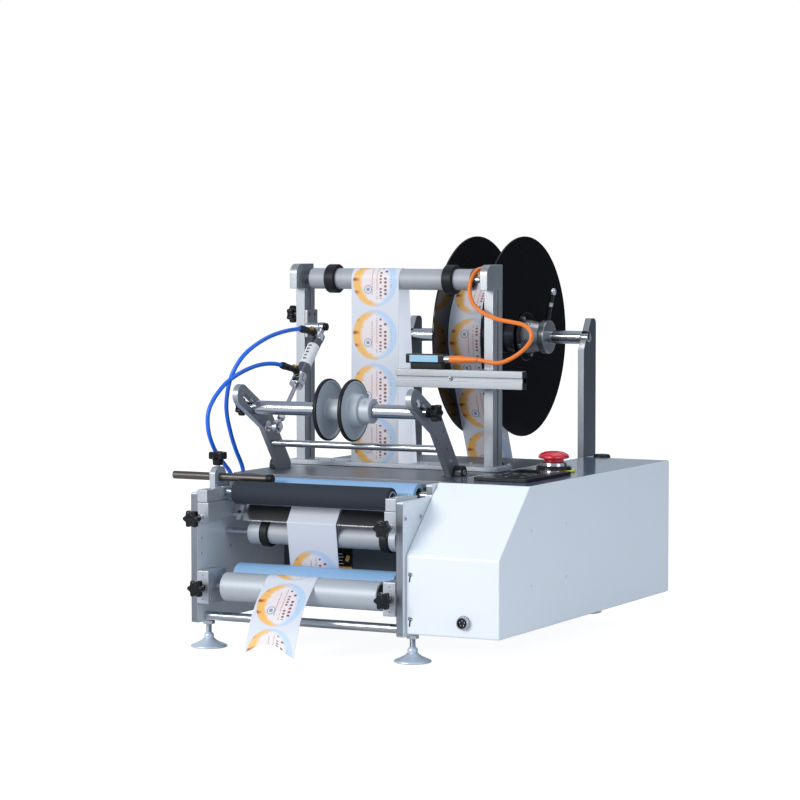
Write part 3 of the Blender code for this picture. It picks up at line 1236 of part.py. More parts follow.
# Press arm: two bent arms, slotted at the top, joined by the press shaft and the cross rod
def arm_outline():
    """The closed outline round the arm's middle line, with round ends and a mitred elbow."""
    tip = Vector((ARM_TIP_Y, ARM_TIP_Z))
    elbow = Vector((ARM_ELBOW_Y, ARM_ELBOW_Z))
    pivot = Vector((ARM_PIVOT_Y, ARM_PIVOT_Z))
    upper = (elbow - tip).normalized()
    lower = (pivot - elbow).normalized()
    across_upper = Vector((-upper.y, upper.x))
    across_lower = Vector((-lower.y, lower.x))
    bisector = (across_upper + across_lower).normalized()
    mitre = bisector * (ARM_HALF_WIDTH / bisector.dot(across_upper))
    tip_angle = math.degrees(math.atan2(across_upper.y, across_upper.x))
    pivot_angle = math.degrees(math.atan2(-across_lower.y, -across_lower.x))
    shape = arc(tip, ARM_HALF_WIDTH, tip_angle, tip_angle + 180)
    shape.append(tuple(elbow - mitre))
    shape += arc(pivot, ARM_HALF_WIDTH, pivot_angle, pivot_angle + 180)
    shape.append(tuple(elbow + mitre))
    return shape


def arm_slot():
    """The slot in the upper branch, from near the tip down to the press shaft."""
    tip = Vector((ARM_TIP_Y, ARM_TIP_Z))
    elbow = Vector((ARM_ELBOW_Y, ARM_ELBOW_Z))
    start = tip.lerp(elbow, ARM_SLOT_START_SHARE)
    end = Vector((PRESS_Y, PRESS_Z))
    run = (end - start).normalized()
    side = math.degrees(math.atan2(run.x, -run.y))
    half = ARM_SLOT_WIDTH / 2
    return (arc(start, half, side, side + 180, SLOT_STEPS)
            + arc(end, half, side + 180, side + 360, SLOT_STEPS))


def press_arms():
    pin_hole = circle((ARM_PIVOT_Y, ARM_PIVOT_Z), ARM_PIN_RADIUS + FIT, SIDES_SMALL)
    for name, low_x in (("press_arm_left", ARM_LEFT_OUTER_X), ("press_arm_right", ARM_RIGHT_INNER_X)):
        shape = [(y - ARM_PIVOT_Y, z - ARM_PIVOT_Z) for y, z in arm_outline()]
        slot = [(y - ARM_PIVOT_Y, z - ARM_PIVOT_Z) for y, z in arm_slot()]
        hole = [(y - ARM_PIVOT_Y, z - ARM_PIVOT_Z) for y, z in pin_hole]
        made = outline(name, [shape, slot, hole], ARM_THICK, ALUMINIUM,
                       (low_x + ARM_THICK / 2, ARM_PIVOT_Y, ARM_PIVOT_Z))
        if low_x < MID_X:
            rod_stud(made)
            join_rod(made, (ARM_LEFT_INNER_X - ROLLER_EDGE, CROSS_ROD_Y, CROSS_ROD_Z),
                     (ARM_RIGHT_INNER_X - GAP, CROSS_ROD_Y, CROSS_ROD_Z), CROSS_ROD_RADIUS)


def press_rods():
    low = ARM_LEFT_INNER_X + GAP
    high = ARM_RIGHT_INNER_X - GAP
    outer = ARM_LEFT_OUTER_X - GAP
    shaft = turned("press_shaft", [
        (mirrored_x(outer) + KNOB_SEAT, PRESS_NECK_RADIUS),
        (high, PRESS_NECK_RADIUS),
        (high, PRESS_SHAFT_RADIUS),
        (low, PRESS_SHAFT_RADIUS),
        (low, PRESS_NECK_RADIUS),
        (outer - KNOB_SEAT, PRESS_NECK_RADIUS)],
        CHROME, (0, PRESS_Y, PRESS_Z), TURN_X, SIDES_MEDIUM)
    join_star(shaft, (outer, PRESS_Y, PRESS_Z), TURN_LEFT)
    join_star(shaft, (mirrored_x(outer), PRESS_Y, PRESS_Z), TURN_X)


def rod_stud(arm):
    """The stud on the left arm that the cylinder's rod pulls on, with its wide head."""
    low = ARM_LEFT_INNER_X - ROLLER_EDGE
    head = CYL_X + CYL_EYE_WIDTH / 2 + GAP
    join_turned(arm, "rod_stud", [
        (head + STUD_HEAD, STUD_HEAD_RADIUS),
        (head, STUD_HEAD_RADIUS),
        (head, STUD_RADIUS),
        (low, STUD_RADIUS)],
        (0, CYL_PIN_Y, CYL_PIN_Z), TURN_X, SIDES_SMALL)


# Pivot blocks: half-round bearing blocks on the deck, outside the arms, with the pin they turn on
def arm_pivot_blocks():
    base = DECK_TOP + GAP
    shape = [(ARM_PIVOT_Y - PIVOT_BLOCK_RADIUS, base), (ARM_PIVOT_Y + PIVOT_BLOCK_RADIUS, base)]
    shape += arc((ARM_PIVOT_Y, ARM_PIVOT_Z + GAP), PIVOT_BLOCK_RADIUS, 0, 180)
    x = ARM_LEFT_OUTER_X - GAP - PIVOT_BLOCK_WIDTH / 2
    for side, place_x, inner in (("left", x, ARM_LEFT_INNER_X),
                                 ("right", mirrored_x(x), ARM_RIGHT_INNER_X)):
        made = outline("arm_pivot_block_" + side, [shape], PIVOT_BLOCK_WIDTH, BLACK_PLASTIC,
                       (place_x, 0, 0))
        join_rod(made, (place_x, ARM_PIVOT_Y, ARM_PIVOT_Z), (inner, ARM_PIVOT_Y, ARM_PIVOT_Z),
                 ARM_PIN_RADIUS)


# Press wheels: two dished discs with rubber rims on one hub with a coned nose, on the press shaft
def press_wheels():
    bore = PRESS_SHAFT_RADIUS + FIT
    half = WHEEL_THICK / 2
    left_face = WHEEL_LEFT_X - half
    right_face = WHEEL_RIGHT_X + half
    rim = WHEEL_RADIUS - WHEEL_RIM
    turned("press_wheels", [
        (WHEEL_NOSE_X, WHEEL_NOSE_RADIUS - ROLLER_EDGE),
        (WHEEL_NOSE_X - ROLLER_EDGE, WHEEL_NOSE_RADIUS),
        (right_face + WHEEL_CONE_LENGTH, WHEEL_NOSE_RADIUS),
        (right_face + WHEEL_CONE_LENGTH, WHEEL_CONE_RADIUS - WHEEL_DISH),
        (right_face - WHEEL_DISH, WHEEL_CONE_RADIUS),
        (right_face - WHEEL_DISH, rim),
        (right_face, rim),
        (right_face, WHEEL_RADIUS),
        (right_face - WHEEL_THICK, WHEEL_RADIUS),
        (right_face - WHEEL_THICK, WHEEL_HUB_RADIUS),
        (left_face + WHEEL_THICK - WHEEL_DISH, WHEEL_HUB_RADIUS),
        (left_face + WHEEL_THICK - WHEEL_DISH, rim),
        (left_face + WHEEL_THICK, rim),
        (left_face + WHEEL_THICK, WHEEL_RADIUS),
        (left_face, WHEEL_RADIUS),
        (left_face, WHEEL_HUB_RADIUS),
        (left_face - WHEEL_LEFT_NOSE, WHEEL_HUB_RADIUS),
        (left_face - WHEEL_LEFT_NOSE, bore),
        (WHEEL_NOSE_X, bore)],
        ALUMINIUM, (0, PRESS_Y, PRESS_Z), TURN_X, SIDES_LARGE, ring=True)


# Air cylinder: hangs on the bracket's pin, its rod's eye round the stud on the left arm
def cylinder_point(along, across=0.0, x=CYL_X):
    """A point at a distance along the cylinder from its rear pin, and across it to the front."""
    rear = Vector((CYL_REAR_Y, CYL_REAR_Z))
    run = (Vector((CYL_PIN_Y, CYL_PIN_Z)) - rear).normalized()
    side = Vector((run.y, -run.x))
    place = rear + run * along + side * across
    return Vector((x, place.x, place.y))


def cylinder_turn():
    run = cylinder_point(1) - cylinder_point(0)
    return run.to_track_quat("Z", "X").to_euler()


def air_cylinder():
    rear = cylinder_point(0)
    reach = math.hypot(CYL_PIN_Y - CYL_REAR_Y, CYL_PIN_Z - CYL_REAR_Z)
    nose = CYL_END + CYL_NUT
    half_eye = CYL_EYE_WIDTH / 2
    bore = ROD_RADIUS + FIT
    barrel = turned("cylinder_barrel", [
        (nose - CYL_BORE, bore),
        (nose, bore),
        (nose, CYL_NUT_RADIUS),
        (CYL_END, CYL_NUT_RADIUS),
        (CYL_END, CYL_CAP_RADIUS),
        (CYL_END - CYL_CAP_LENGTH, CYL_CAP_RADIUS),
        (CYL_END - CYL_CAP_LENGTH, CYL_RADIUS),
        (CYL_START + CYL_CAP_LENGTH, CYL_RADIUS),
        (CYL_START + CYL_CAP_LENGTH, CYL_CAP_RADIUS),
        (CYL_START, CYL_CAP_RADIUS),
        (CYL_START, CYL_NECK_RADIUS),
        (CYL_EYE_RADIUS / 2, CYL_NECK_RADIUS)],
        STEEL, rear, cylinder_turn(), SIDES_MEDIUM)
    join_rod(barrel, cylinder_point(0, 0, CYL_X - half_eye), cylinder_point(0, 0, CYL_X + half_eye),
             CYL_EYE_RADIUS)
    cut_rod(barrel, cylinder_point(0, 0, CYL_X - half_eye - OVERRUN),
            cylinder_point(0, 0, CYL_X + half_eye + OVERRUN), CYL_PIN_RADIUS + FIT)
    cut_box(barrel, *eye_side_cut(-1))
    cut_box(barrel, *eye_side_cut(1))
    for along, route in zip(FITTING_PLACES, (UPPER_TUBE_ROUTE, LOWER_TUBE_ROUTE)):
        stem_start = cylinder_point(along, CYL_RADIUS - ROLLER_EDGE)
        stem_end = cylinder_point(along, CYL_CAP_RADIUS + FITTING_STEM)
        join_rod(barrel, stem_start, stem_end, FITTING_STEM_RADIUS)
        mouth = Vector(route[0]) * MM
        inward = (Vector(route[0]) - Vector(route[1])).normalized()
        outward = (stem_end - stem_start).normalized()
        join_rod(barrel, mouth + inward * 2 * CORD_GAP, stem_end + outward * FITTING_REACH,
                 FITTING_RADIUS)
    nut_end = reach - ROD_EYE_RADIUS - ROD_NUT_GAP
    rod = turned("piston_rod", [
        (reach - ROD_EYE_BORE - ROLLER_EDGE, ROD_RADIUS),
        (nut_end, ROD_RADIUS),
        (nut_end, ROD_NUT_RADIUS),
        (nut_end - ROD_NUT, ROD_NUT_RADIUS),
        (nut_end - ROD_NUT, ROD_RADIUS),
        (nose - ROD_INSIDE, ROD_RADIUS)],
        CHROME, rear, cylinder_turn(), SIDES_SMALL)
    join_rod(rod, cylinder_point(reach, 0, CYL_X - half_eye), cylinder_point(reach, 0, CYL_X + half_eye),
             ROD_EYE_RADIUS, SIDES_MEDIUM)
    cut_rod(rod, cylinder_point(reach, 0, CYL_X - half_eye - OVERRUN),
            cylinder_point(reach, 0, CYL_X + half_eye + OVERRUN), ROD_EYE_BORE, SIDES_MEDIUM)


def eye_side_cut(side):
    """A block that trims the barrel's neck beside its flat eye."""
    half_eye = CYL_EYE_WIDTH / 2
    wide = CYL_NECK_RADIUS + OVERRUN
    low_y = CYL_REAR_Y - CYL_EYE_RADIUS - OVERRUN / 2
    low_z = CYL_REAR_Z - CYL_EYE_RADIUS - OVERRUN / 2
    near = CYL_X + side * half_eye
    far = CYL_X + side * (half_eye + wide)
    return ((min(near, far), low_y, low_z),
            (max(near, far), CYL_REAR_Y + CYL_EYE_RADIUS + OVERRUN, CYL_REAR_Z + CYL_EYE_RADIUS + OVERRUN))


# Cylinder bracket: a plate on the left upright's inner side, with an arm and the rear pin
def cylinder_bracket():
    low_x = UPRIGHT_INSET + UPRIGHT_WIDTH + GAP
    plate_x = low_x + BRACKET_PLATE_THICK
    face = CYL_X - CYL_EYE_WIDTH / 2 - GAP
    middle_y = UPRIGHT_FRONT_Y + UPRIGHT_DEPTH / 2
    made = box("cylinder_bracket",
               (low_x, middle_y - UPRIGHT_DEPTH / 2, CYL_REAR_Z - BRACKET_PLATE_HALF),
               (plate_x, middle_y + UPRIGHT_DEPTH / 2, CYL_REAR_Z + BRACKET_PLATE_HALF + SLOT_MOUTH),
               ALUMINIUM)
    join_box(made, (plate_x - ROLLER_EDGE, CYL_REAR_Y - BRACKET_ARM_HALF, CYL_REAR_Z - BRACKET_ARM_HALF),
             (face, middle_y, CYL_REAR_Z + BRACKET_ARM_HALF))
    nut_x = CYL_X + CYL_EYE_WIDTH / 2 + GAP
    join_rod(made, (face - ROLLER_EDGE, CYL_REAR_Y, CYL_REAR_Z),
             (nut_x + BRACKET_NUT, CYL_REAR_Y, CYL_REAR_Z), CYL_PIN_RADIUS)
    join_rod(made, (nut_x, CYL_REAR_Y, CYL_REAR_Z), (nut_x + BRACKET_NUT, CYL_REAR_Y, CYL_REAR_Z),
             BRACKET_NUT_RADIUS, SIDES_NUT)


# Air supply: a valve behind the left plate whose two ports pass through it to the tubes' elbows, and
# a regulator on the casing's back
def air_valve():
    low_x = PLATE_THICK + GAP
    high_x = low_x + VALVE_WIDTH
    made = box("air_valve", (low_x, VALVE_Y, VALVE_Z),
               (high_x, VALVE_Y + VALVE_LENGTH, VALVE_Z + VALVE_HEIGHT), DARK_STEEL)
    half = ELBOW_SIZE / 2
    for route, (y, z) in zip((UPPER_TUBE_ROUTE, LOWER_TUBE_ROUTE), port_holes()):
        x = route[-1][0] * MM
        join_rod(made, (x, y, z), (low_x + OVERRUN, y, z), FITTING_STEM_RADIUS)
        join_box(made, (x - half, y - half, z - ELBOW_HEIGHT / 2), (-GAP, y + half, z + ELBOW_HEIGHT / 2))


def air_regulator():
    back = CASING_BACK_Y + GAP
    half = REGULATOR_SIZE / 2
    made = box("air_regulator", (REGULATOR_X - half, back, REGULATOR_Z - half),
               (REGULATOR_X + half, back + REGULATOR_SIZE, REGULATOR_Z + half), BLACK_PLASTIC)
    middle_y = back + half
    join_turned(made, "regulator_stack", [
        (half + REGULATOR_KNOB, REGULATOR_KNOB_RADIUS),
        (0, REGULATOR_KNOB_RADIUS),
        (0, REGULATOR_BOWL_RADIUS),
        (-half - REGULATOR_BOWL, REGULATOR_BOWL_RADIUS)],
        (REGULATOR_X, middle_y, REGULATOR_Z))


# Sensor bar: a flat slotted profile with a clamp to the right upright, and the label sensor on it
def sensor_bar():
    top = BAR_LOW_Z + BAR_HEIGHT
    middle = BAR_LOW_Z + BAR_HEIGHT / 2
    half_slot = BAR_SLOT_MOUTH / 2
    back = BAR_FRONT_Y + BAR_DEPTH
    shape = [(BAR_FRONT_Y, BAR_LOW_Z), (back, BAR_LOW_Z), (back, top), (BAR_FRONT_Y, top),
             (BAR_FRONT_Y, middle + half_slot), (BAR_FRONT_Y + BAR_SLOT_DEPTH, middle + half_slot),
             (BAR_FRONT_Y + BAR_SLOT_DEPTH, middle - half_slot), (BAR_FRONT_Y, middle - half_slot)]
    made = outline("sensor_bar", [shape], BAR_RIGHT_X - BAR_LEFT_X, ALUMINIUM,
                   ((BAR_LEFT_X + BAR_RIGHT_X) / 2, 0, 0))
    right_middle = 2 * MID_X - UPRIGHT_INSET - UPRIGHT_WIDTH / 2
    join_box(made, (right_middle - BAR_CLAMP_WIDTH / 2, back - ROLLER_EDGE, BAR_LOW_Z),
             (right_middle + BAR_CLAMP_WIDTH / 2, UPRIGHT_FRONT_Y - GAP, top))


def label_sensor():
    low_z = BAR_LOW_Z + BAR_HEIGHT + GAP
    body_z = low_z + SENSOR_BASE
    made = box("label_sensor", (SENSOR_LEFT_X, BAR_FRONT_Y, body_z),
               (SENSOR_LEFT_X + SENSOR_LENGTH, BAR_FRONT_Y + SENSOR_DEPTH, body_z + SENSOR_HEIGHT),
               BLACK_PLASTIC)
    join_box(made, (SENSOR_LEFT_X + SENSOR_BASE / 2, BAR_FRONT_Y + ROLLER_EDGE, low_z),
             (SENSOR_LEFT_X + SENSOR_LENGTH - SENSOR_BASE / 2, BAR_FRONT_Y + SENSOR_DEPTH - ROLLER_EDGE,
              body_z + ROLLER_EDGE))
    end_x = SENSOR_LEFT_X + SENSOR_LENGTH
    mouth = Vector(CABLE_ROUTE[0]) * MM
    join_rod(made, (end_x - ROLLER_EDGE, mouth.y, mouth.z), (end_x + PLUG_SLEEVE, mouth.y, mouth.z),
             PLUG_SLEEVE_RADIUS)
    join_rod(made, (end_x + PLUG_SLEEVE - ROLLER_EDGE, mouth.y, mouth.z),
             (mouth.x - CORD_GAP, mouth.y, mouth.z), PLUG_RADIUS)


def cords():
    cord("air_tube_upper", UPPER_TUBE_ROUTE, TUBE_RADIUS, BLUE_TUBE)
    cord("air_tube_lower", LOWER_TUBE_ROUTE, TUBE_RADIUS, BLUE_TUBE)
    cord("sensor_cable", CABLE_ROUTE, CABLE_RADIUS, ORANGE_CABLE)


# Label web: one band from the roll, round the guide rollers, over the top roller, to the pinch rollers
def wrap_stations():
    """What the web passes, as centre, radius and the way it turns there (1 left, -1 right)."""
    return (
        ((REEL_Y, REEL_Z), REEL_ROLL_RADIUS, 1),
        ((REAR_ROLLER_Y, REAR_ROLLER_Z), HIDDEN_ROLLER_RADIUS, -1),
        ((RISE_ROLLER_Y, RISE_ROLLER_Z), HIDDEN_ROLLER_RADIUS, -1),
        ((TOP_ROLLER_Y, TOP_ROLLER_Z), TOP_ROLLER_RADIUS, 1),
        ((DROP_BAR_Y, DROP_BAR_Z), DROP_BAR_RADIUS, -1),
        ((PEEL_BACK_Y, PEEL_BACK_Z), PEEL_EDGE_RADIUS, 1),
        ((PEEL_FRONT_Y, PEEL_FRONT_Z), PEEL_EDGE_RADIUS, 1),
        ((DRIVE_ROLLER_Y, DRIVE_ROLLER_Z), DRIVE_ROLLER_RADIUS, -1),
        ((PINCH_ROLLER_Y, PINCH_ROLLER_Z), PINCH_ROLLER_RADIUS, 1),
        ((WEB_TAIL_Y, WEB_TAIL_Z), 0, 1))


def tangent_run(first, second):
    """The straight run between two wrapped circles, as its leaving and arriving points."""
    (c1, r1, turn1), (c2, r2, turn2) = first, second
    a = Vector(c1)
    b = Vector(c2)
    s1 = turn1 * (r1 + WEB_OFFSET)
    s2 = turn2 * (r2 + WEB_OFFSET) if r2 else 0
    gap = b - a
    tilt = math.asin((s1 - s2) / gap.length)
    heading = math.atan2(gap.y, gap.x) + tilt
    side = Vector((math.sin(heading), -math.cos(heading)))
    return a + side * s1, b + side * s2


def web_path():
    stations = wrap_stations()
    runs = [tangent_run(a, b) for a, b in zip(stations, stations[1:])]
    path = [runs[0][0]]
    marks = {0: 0}
    for i, (centre, radius, turn) in enumerate(stations[1:-1], 1):
        arrive = runs[i - 1][1]
        leave = runs[i][0]
        middle = Vector(centre)
        start = math.atan2(arrive.y - middle.y, arrive.x - middle.x)
        end = math.atan2(leave.y - middle.y, leave.x - middle.x)
        sweep = (end - start) * turn % (2 * math.pi)
        steps = max(1, round(sweep / WEB_STEP))
        marks[i] = len(path)
        for k in range(steps + 1):
            angle = start + turn * sweep * k / steps
            path.append(middle + Vector((math.cos(angle), math.sin(angle))) * (radius + WEB_OFFSET))
    marks[len(stations) - 1] = len(path)
    leave = path[-1]
    tail_end = runs[-1][1]
    sideways = Vector((tail_end.y - leave.y, leave.x - tail_end.x)).normalized()
    for k in range(1, WEB_TAIL_STEPS + 1):
        share = k / WEB_TAIL_STEPS
        bow = math.sin(math.pi * share) * WEB_TAIL_SAG
        path.append(leave.lerp(tail_end, share) + sideways * bow)
    return path, marks


def label_web():
    path, marks = web_path()
    along = [0.0]
    for a, b in zip(path, path[1:]):
        along.append(along[-1] + (b - a).length)
    stops = ((0, WEB_REEL_X), (marks[1], WEB_REEL_X), (marks[3], WEB_TOP_X), (marks[4], WEB_TOP_X),
             (marks[5], WEB_FRONT_X), (marks[8], WEB_FRONT_X), (len(path) - 1, WEB_TAIL_X))
    bm = bmesh.new()
    rows = []
    for i, place in enumerate(path):
        x = shifted_x(stops, along, i)
        rows.append([bm.verts.new((side, place.x, place.y)) for side in (x, x + WEB_WIDTH)])
    for a, b in zip(rows, rows[1:]):
        bm.faces.new((a[0], a[1], b[1], b[0]))
    made = from_bmesh("label_web", bm, PAPER)
    wall = made.modifiers.new("band", "SOLIDIFY")
    wall.thickness = WEB_THICK
    wall.offset = 0
    wall.use_even_offset = True


def shifted_x(stops, along, i):
    for (i0, x0), (i1, x1) in zip(stops, stops[1:]):
        if i <= i1:
            share = (along[i] - along[i0]) / (along[i1] - along[i0])
            return x0 + (x1 - x0) * share
    return stops[-1][1]


# Inside the casing: a gear motor on the drive roller's shaft, a power supply and the control board
def motor():
    low_x = RIGHT_OUTER_X + GAP
    half = MOTOR_SIZE / 2
    made = box("motor", (low_x, DRIVE_ROLLER_Y - half, DRIVE_ROLLER_Z - half),
               (low_x + GEARBOX_LENGTH, DRIVE_ROLLER_Y + half, DRIVE_ROLLER_Z + half), DARK_STEEL)
    end = low_x + GEARBOX_LENGTH
    join_rod(made, (end - ROLLER_EDGE, DRIVE_ROLLER_Y, DRIVE_ROLLER_Z),
             (end + MOTOR_LENGTH, DRIVE_ROLLER_Y, DRIVE_ROLLER_Z), MOTOR_RADIUS, SIDES_MEDIUM)
    cut_rod(made, (low_x - OVERRUN, DRIVE_ROLLER_Y, DRIVE_ROLLER_Z),
            (RIGHT_OUTER_X + DRIVE_SHAFT_OUT + GAP, DRIVE_ROLLER_Y, DRIVE_ROLLER_Z),
            ROLLER_SHAFT_RADIUS + FIT)


def control_electronics():
    start = Vector((TRAY_LOW_X, TRAY_FRONT_Y, CASING_BOTTOM + CASING_WALL + GAP))
    made = box("control_electronics", start, start + Vector(TRAY_SIZE), GREEN_BOARD)
    base = start + Vector((0, 0, TRAY_SIZE[2] / 2))
    supply = base + Vector((0, SUPPLY_OFFSET, 0))
    join_box(made, supply, supply + Vector(SUPPLY_SIZE))
    join_box(made, base + Vector((SINK_OFFSET, SINK_OFFSET, 0)),
             base + Vector((SINK_OFFSET, SINK_OFFSET, 0)) + Vector(HEATSINK_SIZE))


def stand_on_origin():
    """Moves the machine so that its box stands centred on the origin."""
    bpy.context.view_layer.update()
    graph = bpy.context.evaluated_depsgraph_get()
    low = Vector((math.inf,) * 3)
    high = Vector((-math.inf,) * 3)
    for item in PARTS.objects:
        if item.type == "EMPTY":
            continue
        shaped = item.evaluated_get(graph)
        mesh = shaped.to_mesh()
        for vertex in mesh.vertices:
            place = item.matrix_world @ vertex.co
            low = Vector(map(min, low, place))
            high = Vector(map(max, high, place))
        shaped.to_mesh_clear()
    ORIGIN.location = (-(low.x + high.x) / 2, -(low.y + high.y) / 2, -low.z)


side_plates()
cross_bars()
deck()
upright_foot_bar()
panel_connectors(casing())
control_panel()
emergency_stop()
uprights()
rollers()
bearing_blocks()
peel_plate()
pinch_brackets()
back_panel()
front_knobs()
bottle_stop()
reel()
reel_posts()
press_arms()
press_rods()
arm_pivot_blocks()
press_wheels()
air_cylinder()
cylinder_bracket()
air_valve()
air_regulator()
sensor_bar()
label_sensor()
cords()
label_web()
motor()
control_electronics()
stand_on_origin()
bpy.context.view_layer.update()
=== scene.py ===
import math

import bmesh
import bpy
from mathutils import Matrix, Vector


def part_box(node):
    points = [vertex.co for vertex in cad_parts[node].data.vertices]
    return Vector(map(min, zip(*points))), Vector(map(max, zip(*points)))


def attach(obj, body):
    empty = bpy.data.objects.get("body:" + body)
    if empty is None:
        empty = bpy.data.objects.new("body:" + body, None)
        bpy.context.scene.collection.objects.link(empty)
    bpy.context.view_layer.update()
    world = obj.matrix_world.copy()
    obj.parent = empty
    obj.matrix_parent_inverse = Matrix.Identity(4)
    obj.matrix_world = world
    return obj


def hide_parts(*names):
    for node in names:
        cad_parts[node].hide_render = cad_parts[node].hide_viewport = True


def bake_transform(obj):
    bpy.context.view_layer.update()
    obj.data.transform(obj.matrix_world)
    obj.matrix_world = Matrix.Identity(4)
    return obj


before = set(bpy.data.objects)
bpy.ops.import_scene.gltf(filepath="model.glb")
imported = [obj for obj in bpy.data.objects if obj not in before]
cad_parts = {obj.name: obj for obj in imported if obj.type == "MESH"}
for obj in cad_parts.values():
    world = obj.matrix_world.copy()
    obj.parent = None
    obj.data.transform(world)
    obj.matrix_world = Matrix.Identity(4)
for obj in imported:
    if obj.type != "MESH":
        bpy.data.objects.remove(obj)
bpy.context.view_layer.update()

scene = bpy.context.scene
scene.view_settings.view_transform = "Standard"

# Camera: a long lens to the right of the machine's front, just above the height of the rollers.
LENS = 131.625
SENSOR = 36.0
camera_data = bpy.data.cameras.new("photo_camera")
camera_data.lens = LENS
camera_data.sensor_width = SENSOR
camera = bpy.data.objects.new("photo_camera", camera_data)
camera.location = (1.85596, -3.72029, 0.5732)
camera.rotation_euler = (math.radians(86.58), 0, math.radians(27.3))
scene.collection.objects.link(camera)
scene.camera = camera


# Studio: a white floor that keeps a soft shadow, and a white surround for the camera, while the
# light that falls on the machine and shows in its metal stays at a plain level.
FLOOR_SIZE = 30.0
FLOOR_DROP = -0.0006
AMBIENT = 0.54


def source(tree, kind, colour=(1, 1, 1), strength=None):
    """A shader of one plain colour."""
    made = tree.nodes.new("ShaderNode" + kind)
    made.inputs["Color"].default_value = (*colour, 1)
    if strength is not None:
        made.inputs["Strength"].default_value = strength
    return made


def split_for_camera(tree, lighting, shown, output):
    """One shader for the light, and another where the camera sees it, straight or through a clear piece."""
    path = tree.nodes.new("ShaderNodeLightPath")
    seen = tree.nodes.new("ShaderNodeMath")
    seen.operation = "MAXIMUM"
    tree.links.new(path.outputs["Is Camera Ray"], seen.inputs[0])
    tree.links.new(path.outputs["Is Transmission Ray"], seen.inputs[1])
    either = tree.nodes.new("ShaderNodeMixShader")
    for slot, node in enumerate((seen, lighting, shown)):
        tree.links.new(node.outputs[0], either.inputs[slot])
    out = tree.nodes.new(output)
    tree.links.new(either.outputs[0], out.inputs[0])


def studio_sheet(name, coat, place, size, turn=(0, 0, 0), unseen_by=()):
    """A flat sheet of the studio, which isn't part of the machine."""
    sheet = bmesh.new()
    bmesh.ops.create_grid(sheet, x_segments=1, y_segments=1, size=0.5)
    mesh = bpy.data.meshes.new(name)
    sheet.to_mesh(mesh)
    sheet.free()
    mesh.materials.append(coat)
    made = bpy.data.objects.new(name, mesh)
    made.location = place
    made.rotation_euler = turn
    made.scale = (*size, 1)
    for way in unseen_by:
        setattr(made, "visible_" + way, False)
    scene.collection.objects.link(made)


world = bpy.data.worlds.new("studio")
world.use_nodes = True
scene.world = world
tree = world.node_tree
tree.nodes.clear()
soft = source(tree, "Background", (0.86, 0.96, 1.08), AMBIENT)
split_for_camera(tree, soft, source(tree, "Background"), "ShaderNodeOutputWorld")

floor_finish = bpy.data.materials.new("white_floor")
floor_finish.use_nodes = True
tree = floor_finish.node_tree
tree.nodes.clear()
plain = source(tree, "BsdfDiffuse", (0.72, 0.73, 0.75))
shaded = source(tree, "BsdfDiffuse", (0.36, 0.37, 0.38))
lit = source(tree, "Emission", strength=0.9)
both = tree.nodes.new("ShaderNodeAddShader")
tree.links.new(shaded.outputs[0], both.inputs[0])
tree.links.new(lit.outputs[0], both.inputs[1])
split_for_camera(tree, plain, both, "ShaderNodeOutputMaterial")
studio_sheet("studio_floor", floor_finish, (0, 0, FLOOR_DROP), (FLOOR_SIZE, FLOOR_SIZE))


def turned_to(place, target, front):
    """The turn that points an object's front axis from its place to the target."""
    return (Vector(target) - Vector(place)).to_track_quat(front, "Y").to_euler()


def soft_light(name, place, target, size, power, colour):
    data = bpy.data.lights.new(name, "AREA")
    data.shape = "DISK"
    data.size = size
    data.energy = power
    data.color = colour
    lamp = bpy.data.objects.new(name, data)
    lamp.location = place
    lamp.rotation_euler = turned_to(place, target, "-Z")
    scene.collection.objects.link(lamp)


soft_light("front_light", (-1.2, -3.2, 1.5), (0, 0, 0.25), 1.6, 71, (1.0, 0.98, 0.94))
soft_light("top_light", (0.3, 0.4, 3.0), (0, 0, 0.2), 2.0, 16, (1.0, 1.0, 1.0))
soft_light("right_fill", (3.2, -1.4, 1.2), (0, 0, 0.2), 1.4, 14, (0.80, 0.92, 1.0))

# Grey boards beside and above the machine, out of sight, that only show in polished metal.
board_finish = bpy.data.materials.new("grey_board")
board_finish.use_nodes = True
board_paint = board_finish.node_tree.nodes["Principled BSDF"].inputs
board_paint["Base Color"].default_value = (0.05, 0.055, 0.065, 1)
board_paint["Roughness"].default_value = 0.9
BOARD_TARGET = (0, 0, 0.3)
BOARDS = (("board_back_right", (1.9, 2.6, 1.1), (2.2, 2.4)), ("board_left", (-2.6, 0.4, 1.0), (1.2, 1.8)),
          ("board_above", (-0.6, -0.9, 2.5), (0.5, 1.6)))
for name, place, size in BOARDS:
    studio_sheet(name, board_finish, place, size, turned_to(place, BOARD_TARGET, "Z"),
                 ("camera", "diffuse", "shadow", "transmission"))


# Side plates: 10 mm aluminium, wire-cut, low at the front under the bottle rollers and stepped up
# to the deck. Everything else is screwed to them, and each stands on two levelling feet.
# The machine is drawn in millimetres from the left plate's front bottom corner.
MM = 0.001
SMOOTH = math.radians(50)
PLATE_THICK = 10
BETWEEN_PLATES = (10.3, 311.2)
MIDDLE_X = 160.75
FOOT_TALL = 37
TO_RIGHT, TO_LEFT, TO_FRONT, UP = (1, 0, 0), (-1, 0, 0), (0, -1, 0), (0, 0, 1)
corner = Vector((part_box("deck")[0].x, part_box("side_plate_left")[0].y,
                 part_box("side_plate_left")[0].z + FOOT_TALL * MM))
TO_FRAME = Matrix.Translation(corner) @ Matrix.Scale(MM, 4)
# Parts are drawn with an outline in Y and Z and a thickness along X. One matrix lays such a part
# flat, with its outline in X and Y, and the other turns it to the front, with it in X and Z.
FLAT = Matrix(((0, 1, 0, 0), (0, 0, 1, 0), (1, 0, 0, 0), (0, 0, 0, 1)))
FACING = Matrix(((0, 1, 0, 0), (1, 0, 0, 0), (0, 0, 1, 0), (0, 0, 0, 1)))


